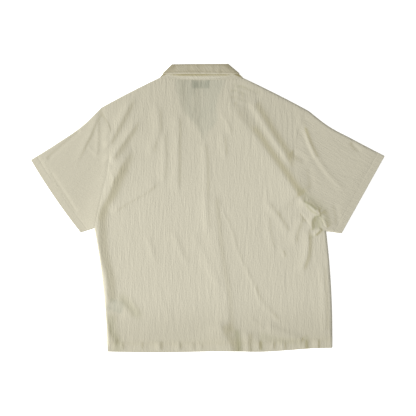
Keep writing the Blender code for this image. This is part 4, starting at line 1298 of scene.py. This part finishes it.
class SHIRT_OT_fronts(bpy.types.Operator):
    """Make both fronts, which lie on the floor with the right one's edge over the left one's"""

    bl_idname = "shirt.fronts"
    bl_label = "Fronts"

    def execute(self, context):
        return made(*[self.front(side) for side in SIDES])

    @staticmethod
    def front(side):
        """One front: its edge runs along the buttons, then up the roll line to the gorge."""
        outer = body_edge(side)
        stitched = rows_in_hem(side, 2 * MM)
        hem_x = centre_line(HEM[0, 1]) + side.sign * OVERLAP_HALF
        low = SIDE_ROWS[:stitched] * SEAM_LENGTH + hem_height(np.array([hem_x]))[0]
        high = np.linspace(low[-1], BREAK[1], len(outer) - ROLL_ROWS - stitched + 1)
        heights = np.concatenate([low, high[1:-1]])
        straight = np.stack([centre_line(heights) + side.sign * OVERLAP_HALF, heights], axis=1)
        roll_line = through(side.roll, np.linspace(1, gorge(side)[1], len(outer) - len(straight)))
        inner = np.concatenate([straight, roll_line])
        neck = neckline(side, np.linspace(0, 1, NECKLINE_COLUMNS))
        top = np.concatenate([shoulder_columns(side, FRONT_COLUMN_STEP), neck[1:]])
        x = outer[0, 0] + (inner[0, 0] - outer[0, 0]) * np.linspace(0, 1, len(top))
        bottom = np.stack([x, hem_height(x)], axis=1)
        inner[0] = bottom[-1]
        points = patch(outer, inner, bottom, top)
        x, y = points[..., 0], points[..., 1]
        level = lower_front_level(x, y) if side is LEFT else upper_front_level(x, y)
        cloth = bpy.context.scene.shirt_cloth
        wrinkles = 0.7 + 0.6 * crinkle(x + FRONT_CRINKLE_PLACE, y)
        level = level + cloth.crinkle_height * FRONT_CRINKLE * wrinkles
        grid = turned(with_level(points, level)[::-1], stitched, side.sign)[::-1]
        piece = sheet_object(f"front_{side.name}_cloth", grid)
        tone(piece, np.zeros(grid.shape[:2]))
        finish(thicken(piece, CLOTH), shared_cloth(), "cloth", f"front_{side.name}")
        return piece


class SHIRT_OT_sleeves(bpy.types.Operator):
    """Make both sleeves, flattened tubes with a turned hem at the cuff"""

    bl_idname = "shirt.sleeves"
    bl_label = "Sleeves"

    def execute(self, context):
        return made(*[piece for side in SIDES for piece in self.sleeve(side)])

    @staticmethod
    def sleeve(side):
        """One sleeve: an upper layer from the armhole's height to its own and a lower one on the floor."""
        cuff_top = side.sleeve_top[-1]
        across = spaced(travel(side.armhole)[-1], COLUMN_STEP, fine_start=True, fine_end=True)
        armhole = through(side.armhole, across)
        long_side = travel(side.sleeve_top)[-1]
        from_cuff = np.concatenate([[0], FINE_STEPS[1:], CUFF_ROWS])
        count = int(long_side / SLEEVE_ROW_STEP) - 5
        even = np.linspace(from_cuff[-1] + SLEEVE_ROW_STEP, long_side, count)
        stations = 1 - np.concatenate([from_cuff, even])[::-1] / long_side
        seam = bowed(armhole[0], side.cuff_end, 0, stations)
        fold = through(side.sleeve_top, stations)
        points = patch(armhole, bowed(side.cuff_end, cuff_top, side.cuff_bow, across), seam, fold)
        x, y = points[..., 0], points[..., 1]
        grain = unit((side.cuff_end + cuff_top) / 2 - (armhole[0] + armhole[-1]) / 2)
        cloth = bpy.context.scene.shirt_cloth
        wrinkles = crinkle(-x * grain[1] + y * grain[0] + SLEEVE_CRINKLE_PLACE, x * grain[0] + y * grain[1])
        wrinkles = SLEEVE_CRINKLE * cloth.crinkle_height * wrinkles
        apart_cuff = distance_to(bowed(side.cuff_end, cuff_top, side.cuff_bow, EVEN), x, y)
        loft = HEM_LOFT + (LOFT - HEM_LOFT) * eased(apart_cuff / HEM_FADE) + relief(x, y)
        loft = loft + wrinkles + groove(apart_cuff - CUFF_WIDTH)
        loft = np.maximum(loft, ON_FLOOR + BETWEEN_LAYERS)
        apart = np.minimum(distance_to(seam, x, y), distance_to(fold, x, y))
        in_hem = 1 - eased((apart_cuff - CUFF_WIDTH) / HEM_LIFT_FADE)
        own_level = rolled(loft, ON_FLOOR + RIM_LIFT + HEM_LIFT * in_hem, apart, side.edge_width)
        armhole_level = back_level(armhole[:, 0], armhole[:, 1])
        share = eased(stations / ARMHOLE_BLEND)
        upper = with_level(points, armhole_level[:, None] * (1 - share) + own_level * share)
        under = UNDERSIDE_CRINKLE * (wrinkles + cloth.crinkle_height).clip(0, None)
        lower = with_level(points, ON_FLOOR + under)
        ring = np.concatenate([upper, lower[::-1]]).transpose(1, 0, 2)
        ring = turned(ring, len(from_cuff) - 1, side.sign)
        piece = sheet_object(f"sleeve_{side.name}_cloth", ring, ring=True)
        # Painted shade over the whole sleeve
        tone(piece, np.full(ring.shape[:2], side.sleeve_shade), "shade")
        # Painted crease shadow and shade on the sleeve
        for name, values in (("crease", crease_shade(x, y)), ("backing_and_shade", CREASE_SHADOW_SHARE * crease_shadows(x, y))):
            stored = np.zeros(ring.shape[:2])
            stored[: x.shape[1], : x.shape[0]] = values.T
            tone(piece, stored, name)
        angle = float(np.arctan2(grain[1], grain[0]) - np.pi / 2)
        cotton = shared_cloth(f"crinkled cotton, {side.name} sleeve", angle, crinkles=side.sleeve_crinkle)
        finish(thicken(piece, CLOTH), cotton, "cloth", f"sleeve_{side.name}")
        hem_row = np.abs(apart_cuff.mean(axis=0) - CUFF_WIDTH).argmin()
        stitches = stitch_row(f"sleeve_{side.name}_stitches", upper[3:-3, hem_row], CLOTH / 2)
        return piece, stitches


class SHIRT_OT_collar(bpy.types.Operator):
    """Make the collar: the stand from the neck seam, the fold along its top and the fall, from end to end"""

    bl_idname = "shirt.collar"
    bl_label = "Collar"

    def execute(self, context):
        seam, roll, outer, turns, sides = self.sections()
        along_side = unit(RIGHT.roll[0] - RIGHT.neck_point)
        outward = np.stack([sides * along_side[1], np.full(len(sides), -along_side[0])], axis=1)

        def raised(points, high, low):
            """Points at the height of the back's half, of the fronts' half or of the turn between them."""
            radius = (high - low) / 2
            plan = points + (max(radius - SIDE_PRESSED, 0) * np.sin(turns))[:, None] * outward
            return with_level(plan, (high + low) / 2 + radius * np.cos(turns))

        stand_seam = raised(seam, NECK_LEVEL + STAND_LIFT, FRONT_STAND_LEVEL)
        stand_top = raised(roll, NECK_LEVEL + STAND_LIFT + STAND_RISE, FRONT_STAND_LEVEL)
        fall_top = raised(roll, FALL_TOP_LEVEL, LEAF_ON_FLOOR)
        fall_edge = raised(outer, FALL_EDGE_LEVEL, LEAF_ON_FLOOR)
        bulge = with_level(unit(unit(roll - seam) - unit(outer - roll)), np.zeros(len(roll)))
        half = (fall_top - stand_top) / 2
        radius = np.linalg.norm(half, axis=1, keepdims=True)
        height = np.maximum(np.linalg.norm(stand_top - stand_seam, axis=1, keepdims=True), STAND_REACH)
        width = np.maximum(np.linalg.norm(fall_edge - fall_top, axis=1, keepdims=True), FALL_REACH)
        rows = [stand_seam + (stand_top - stand_seam) * (at / height) for at in STAND_ROWS]
        for angle in np.linspace(0, np.pi, TURN_STEPS):
            rows.append((stand_top + fall_top) / 2 - half * np.cos(angle) + bulge * radius * np.sin(angle))
        for from_edge in FALL_ROWS:
            row = fall_top + (fall_edge - fall_top) * (1 - from_edge / width)
            pressed = groove(from_edge - COLLAR_STITCH_IN)
            pressed = pressed - FALL_EDGE_DROP * eased(1 - from_edge / FALL_EDGE_FADE)
            rumpled = FALL_RUMPLE * noise(row[:, 0], row[:, 1], *FALL_RUMPLES)
            rumpled = rumpled * eased(from_edge / FALL_RUMPLE_FADE)
            row[:, 2] += (pressed + rumpled) * np.cos(turns).clip(0, 1)
            rows.append(row)
        grid = np.stack(rows)
        piece = sheet_object("collar_cloth", grid)
        self.shading(piece, grid, roll, fall_edge, np.cos(turns).clip(0, 1))
        cotton = shared_cloth("crinkled cotton, collar", COLLAR_GRAIN, COLLAR_SHADE_COLOUR, COLLAR_CRINKLE)
        finish(thicken(piece, DOUBLE_CLOTH), cotton, "cloth", "collar")
        line = grid[STITCHED_ROW, LEAF_COLUMNS + 6 : -LEAF_COLUMNS - 6]
        stitches = stitch_row("collar_stitches", line, DOUBLE_CLOTH / 2)
        return made(piece, stitches)

    @staticmethod
    def shading(piece, grid, roll, fall_edge, behind):
        """Paints the collar's light and shade: the fall darker, with random blotches, painted shade at its
        fold, its stitch line and its ends and a painted highlight along its edge, a painted shadow in the
        line under its edge and in wedges at its ends, and painted shade on the stand. Only the crescent of
        the stand that shows below that line stays light."""
        x, y = grid[..., 0], grid[..., 1]
        below = np.arange(len(grid))[:, None] < len(STAND_ROWS)
        from_middle = np.abs(x - (LEFT.roll[0, 0] + RIGHT.roll[0, 0]) / 2)
        from_fold = np.linalg.norm(grid[..., :2] - roll, axis=-1)
        from_edge = np.linalg.norm(grid[..., :2] - fall_edge[:, :2], axis=-1)
        # The fall painted darker, with random blotches and clouds, painted shade at its fold and stitch line
        # and a painted highlight along its edge
        fall = FALL_TONE + BLOTCH_SHARE * noise(x, y, *COLLAR_BLOTCHES)
        fall = fall + CLOUD_SHARE * noise(x, y, *COLLAR_CLOUDS)
        fall = fall + bell(from_fold, *FALL_AT_FOLD) + bell(from_edge, *FALL_EDGE_HIGHLIGHT)
        fall = fall + bell(from_edge - COLLAR_STITCH_IN, *FALL_AT_STITCHES)
        dull = 0
        # Painted shade at the collar's ends
        for side in SIDES:
            from_end = distance_to(np.array([side.roll[0], side.neck_point]), x, y)
            backing_shade, shade_tone = side.end_shades
            fall = fall + bell(from_end, *backing_shade)
            dull = dull + bell(from_end, *shade_tone)
        # Painted shadow in the line under the fall's edge and in wedges at the collar's ends
        under = bell(from_edge - UNDER_LINE, *UNDER_FALL) * eased((CRESCENT_HALF - from_middle) / UNDER_FADE)
        under = under * (1 + UNDER_STREAK_SHARE * noise(x, y, *UNDER_STREAKS))
        wedge = y - WEDGE_HEIGHT + WEDGE_SLOPE * (from_middle - CRESCENT_HALF)
        under = under + WEDGE_TONE * eased(wedge / SOFT_LINE + 0.5) * rising(from_middle, *WEDGE_ENDS)
        # Painted shade on the stand outside the crescent that shows, lit, below the fall
        crescent = y - CRESCENT_HEIGHT - CRESCENT_RISE * (from_middle / CRESCENT_HALF) ** 2
        dull = dull + np.where(below, STAND_SHADE * (1 - eased(crescent / SOFT_LINE + 0.5)), 0)
        tone(piece, np.clip(np.where(below, under, fall) * behind, 0, 1))
        tone(piece, np.clip(dull * behind, 0, 1), "shade")
        tone(piece, np.clip(np.where(below, 2 * under, 0) * behind, 0, 1), "crease")

    @staticmethod
    def front_half(side):
        """Neck seam, roll line and outer edge of the collar's front half, from the gorge to its side."""
        corner = side.roll[0]
        at = np.linspace(0, 1, LEAF_COLUMNS)
        seam = neckline(side, at)[::-1] + (0, SEAM_ABOVE_NECKLINE)
        seam[-1] = side.neck_point + unit(corner - side.neck_point) * SIDE_CLEARANCE
        rolled_line = through(side.roll, collar_end(side)[1] * (1 - at))
        rolled_line[-1] = corner
        fold_end = corner + (seam[-1] - corner) * FALL_SHARE
        return seam, rolled_line, through(np.array([side.collar_point, side.leaf_middle, fold_end]), at)

    def sections(self):
        """Seam point, roll point, outer point and turn of every section from one front end to the other.
        The turn is 0 on the back, half a circle on the fronts and between them at the folded sides."""
        left, right = (self.front_half(side) for side in SIDES)
        turn = np.linspace(0, np.pi, TURN_STEPS + 1)[1:-1]
        across = np.linspace(0, 1, NECK_COLUMNS + 1)
        back_seam = neck_curve(across) - (0, STAND_OVER_BACK)
        back_seam[[0, -1]] = left[0][-1], right[0][-1]
        middles = (back_seam, *[bowed(left[line][-1], right[line][-1], 0, across) for line in (1, 2)])
        lines = []
        for left_line, middle_line, right_line in zip(left, middles, right):
            left_side = np.repeat(left_line[-1:], len(turn), axis=0)
            right_side = np.repeat(right_line[-1:], len(turn), axis=0)
            lines.append(np.concatenate([left_line, left_side, middle_line, right_side, right_line[::-1]]))
        front = np.full(LEAF_COLUMNS, np.pi)
        turns = np.concatenate([front, turn[::-1], np.zeros(NECK_COLUMNS + 1), turn, front])
        sides = np.where(np.arange(len(turns)) < len(turns) // 2, -1, 1)
        return (*lines, turns, sides)


class SHIRT_OT_lapels(bpy.types.Operator):
    """Make both lapels, the turned-back top corners of the fronts"""

    bl_idname = "shirt.lapels"
    bl_label = "Lapels"

    def execute(self, context):
        return made(*[self.lapel(side) for side in SIDES])

    @staticmethod
    def lapel(side):
        """One lapel: half a circle down from the front along the roll line, then flat to its edge."""
        end, _ = collar_end(side)
        _, start = at_height(side.roll, end[1] + LAPEL_BELOW_COLLAR[1])
        tip_row = int(LAPEL_ROWS * TIP_SHARE)
        inner = through(side.roll, np.linspace(start, LAPEL_END, LAPEL_ROWS))
        notch = end + (side.collar_point - end) * NOTCH_SHARE + LAPEL_BELOW_COLLAR
        short_side = bowed(notch, side.lapel_edge[0], 0, np.linspace(0, 1, tip_row + 1))
        long_side = through(side.lapel_edge, np.linspace(0, 1, LAPEL_ROWS - tip_row))
        outer = np.concatenate([short_side, long_side[1:]])
        across = np.concatenate([np.linspace(0, 0.86, 18), [0.92, 0.96, 0.985, 1]])[None, :, None]
        points = inner[:, None] * (1 - across) + outer[:, None] * across
        level = LAPEL_CLOTH / 2 + CLEAR_OF_FLOOR
        flat = with_level(points, np.full(points.shape[:2], level))
        front_level = lower_front_level if side is LEFT else upper_front_level
        radius = ((front_level(inner[:, 0], inner[:, 1]) - level) / 2)[:, None]
        tangent = unit(np.gradient(inner, axis=0))
        towards_neck = np.stack([-tangent[:, 1], tangent[:, 0]], axis=1) * side.sign
        angles = np.linspace(0, np.pi, 8)[:-1]
        arc = inner[:, None] + towards_neck[:, None] * (radius * np.sin(angles))[..., None]
        arc = with_level(arc, level + radius + radius * np.cos(angles))
        grid = np.concatenate([arc, flat], axis=1)
        piece = sheet_object(f"lapel_{side.name}_cloth", grid)
        tone(piece, np.zeros(grid.shape[:2]))
        finish(thicken(piece, LAPEL_CLOTH), shared_cloth(), "cloth", f"lapel_{side.name}")
        return piece


class SHIRT_OT_buttons(bpy.types.Operator):
    """Smooth the buttons and sew them on"""

    bl_idname = "shirt.buttons"
    bl_label = "Buttons"

    def execute(self, context):
        resin = plain_material("button resin", context.scene.shirt_sewing.button_colour, 0.3, 4 * MM, 0.08)
        return made(*[piece for number in range(BUTTON_COUNT) for piece in self.button(number, resin)])

    @staticmethod
    def button(number, resin):
        """One button on its solid's own mesh, its thread in two bars of three strands, and its buttonhole."""
        node = f"button_{number + 1}"
        merged = bmesh.new()
        merged.from_mesh(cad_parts[node].data)
        bmesh.ops.remove_doubles(merged, verts=merged.verts, dist=WELD_DISTANCE)
        mesh = bpy.data.meshes.new(f"{node}_turned")
        merged.to_mesh(mesh)
        merged.free()
        mesh.shade_smooth()
        mesh.set_sharp_from_angle(angle=np.radians(35))
        piece = finish(placed(f"{node}_turned", mesh), resin, "buttons", node)
        y = button_heights()[number]
        x = centre_line(y)
        reach = BUTTON_HOLE_SPREAD * np.cos(np.pi / 4)
        along = np.linspace(-1, 1, 13)
        arch = np.sqrt(np.clip(1 - along**2, 0, 1))
        level = THREAD_TOP - arch * THREAD_ARCH
        bars = [
            np.stack([x + side * reach + strand * arch, y + along * reach, level], axis=1)
            for side in (-1, 1)
            for strand in STRANDS
        ]
        thread = thread_object(f"{node}_thread", tubes(np.array(bars), STRAND_RADIUS, False))
        around = np.linspace(0, 2 * np.pi, 41)[:-1]
        hole_x = x + BUTTONHOLE_HALF[0] * np.sin(around)
        hole_y = y + BUTTONHOLE_HALF[1] * np.cos(around) * (1 + BUTTONHOLE_BULGE * np.sin(around) ** 2)
        hole = np.stack([hole_x, hole_y, np.full(40, ON_FLOOR + BUTTON_ROOM - CLOTH / 2)], axis=1)
        rings = tubes(hole[None], BUTTONHOLE_RADIUS, True)
        return piece, thread, thread_object(f"buttonhole_{number + 1}", rings, closed=True)


class SHIRT_OT_labels(bpy.types.Operator):
    """Make the blank neck label and the blank care label"""

    bl_idname = "shirt.labels"
    bl_label = "Labels"

    def execute(self, context):
        ribbon = plain_material("label ribbon", context.scene.shirt_sewing.label_colour, 0.65, 1.5 * MM, 0.06)
        neck = self.label("neck_label", NECK_LABEL_CENTRE, NECK_LABEL_SIZE, 0, ribbon)
        care = self.label("care_label", CARE_LABEL_CENTRE, CARE_LABEL_SIZE, CARE_LABEL_TURN, ribbon)
        return made(neck, care)

    @staticmethod
    def label(node, centre, size, turn, ribbon):
        """A flat ribbon with a slow wave along it, in the middle of its solid."""
        low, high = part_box(node)
        u, v = np.meshgrid(np.linspace(-0.5, 0.5, 41), np.linspace(-0.5, 0.5, 21))
        plan = np.array(centre) + turned_by(turn, np.stack([u, v], axis=-1) * size)
        level = (low[2] + high[2]) / 2 + LABEL_WAVE * np.sin(u * 9) * np.cos(v * 5)
        piece = sheet_object(f"{node}_ribbon", with_level(plan, level))
        finish(thicken(piece, RIBBON), ribbon, "labels", node)
        return piece


class SHIRT_OT_stage(bpy.types.Operator):
    """Set up the pale floor, the soft light and the camera straight above the shirt"""

    bl_idname = "shirt.stage"
    bl_label = "Stage"

    def execute(self, context):
        stage = context.scene.shirt_stage
        context.scene.view_settings.view_transform = "Standard"
        bpy.ops.mesh.primitive_plane_add(size=FLOOR_SIZE, location=(0, 0, -FLOOR_BELOW))
        floor = context.object
        floor.name = "floor"
        material = plain_material("floor paint", stage.floor_colour, 0.9, 0.5, 0.005)
        glow = {"Emission Color": (1, 1, 1, 1), "Emission Strength": stage.floor_glow}
        wire(material.node_tree.nodes["Principled BSDF"], glow)
        floor.data.materials.append(material)
        world = bpy.data.worlds.new("studio") if context.scene.world is None else context.scene.world
        context.scene.world = world
        world.use_nodes = True
        background = next(node for node in world.node_tree.nodes if node.type == "BACKGROUND")
        wire(background, {"Color": (1, 1, 1, 1), "Strength": stage.surround})
        self.area_light("key", KEY_PLACE, KEY_SIZE, stage.key)
        camera = bpy.data.cameras.new("camera")
        camera.sensor_width = SENSOR_WIDTH
        camera.lens = camera.sensor_width * stage.camera_height / stage.view_width
        camera.clip_end = VIEW_REACH
        context.scene.camera = placed("camera", camera)
        context.scene.camera.location = (*CAMERA_SHIFT, stage.camera_height)
        return {"FINISHED"}

    @staticmethod
    def area_light(name, place, size, power):
        """A square light that faces the shirt."""
        light = bpy.data.lights.new(name, "AREA")
        light.size = size
        light.energy = power
        holder = placed(name, light)
        holder.location = place
        x, y, z = place
        tilt = float(np.arctan2(np.hypot(x, y), z))
        turn = float(np.arctan2(-y, -x) - np.pi / 2)
        holder.rotation_euler = (tilt, 0, turn)
        return holder


class SHIRT_PT_sidebar(bpy.types.Panel):
    """The shirt's sizes, colours and steps"""

    bl_label = "Open Collar Shirt"
    bl_idname = "SHIRT_PT_sidebar"
    bl_space_type = "VIEW_3D"
    bl_region_type = "UI"
    bl_category = "Shirt"

    def draw(self, context):
        layout = self.layout
        for settings in (context.scene.shirt_cloth, context.scene.shirt_sewing, context.scene.shirt_stage):
            box = layout.box()
            for name in settings.__annotations__:
                box.prop(settings, name)
        for step in STEPS:
            layout.operator(step.bl_idname)


STEPS = (
    SHIRT_OT_back,
    SHIRT_OT_fronts,
    SHIRT_OT_sleeves,
    SHIRT_OT_collar,
    SHIRT_OT_lapels,
    SHIRT_OT_buttons,
    SHIRT_OT_labels,
    SHIRT_OT_stage,
)
SETTINGS = {
    "shirt_cloth": ShirtClothSettings,
    "shirt_sewing": ShirtSewingSettings,
    "shirt_stage": ShirtStageSettings,
}


def register():
    """Adds the settings, the steps and the panel."""
    for settings in SETTINGS.values():
        bpy.utils.register_class(settings)
    for name, settings in SETTINGS.items():
        setattr(bpy.types.Scene, name, bpy.props.PointerProperty(type=settings))
    for step in (*STEPS, SHIRT_PT_sidebar):
        bpy.utils.register_class(step)


def unregister():
    """Takes the panel, the steps and the settings away again."""
    for step in (SHIRT_PT_sidebar, *reversed(STEPS)):
        bpy.utils.unregister_class(step)
    for name, settings in SETTINGS.items():
        delattr(bpy.types.Scene, name)
        bpy.utils.unregister_class(settings)


def main():
    """Registers the add-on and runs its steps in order."""
    register()
    bpy.ops.shirt.back()
    bpy.ops.shirt.fronts()
    bpy.ops.shirt.sleeves()
    bpy.ops.shirt.collar()
    bpy.ops.shirt.lapels()
    bpy.ops.shirt.buttons()
    bpy.ops.shirt.labels()
    bpy.ops.shirt.stage()
    bpy.context.view_layer.update()


if __name__ == "__main__":
    main()
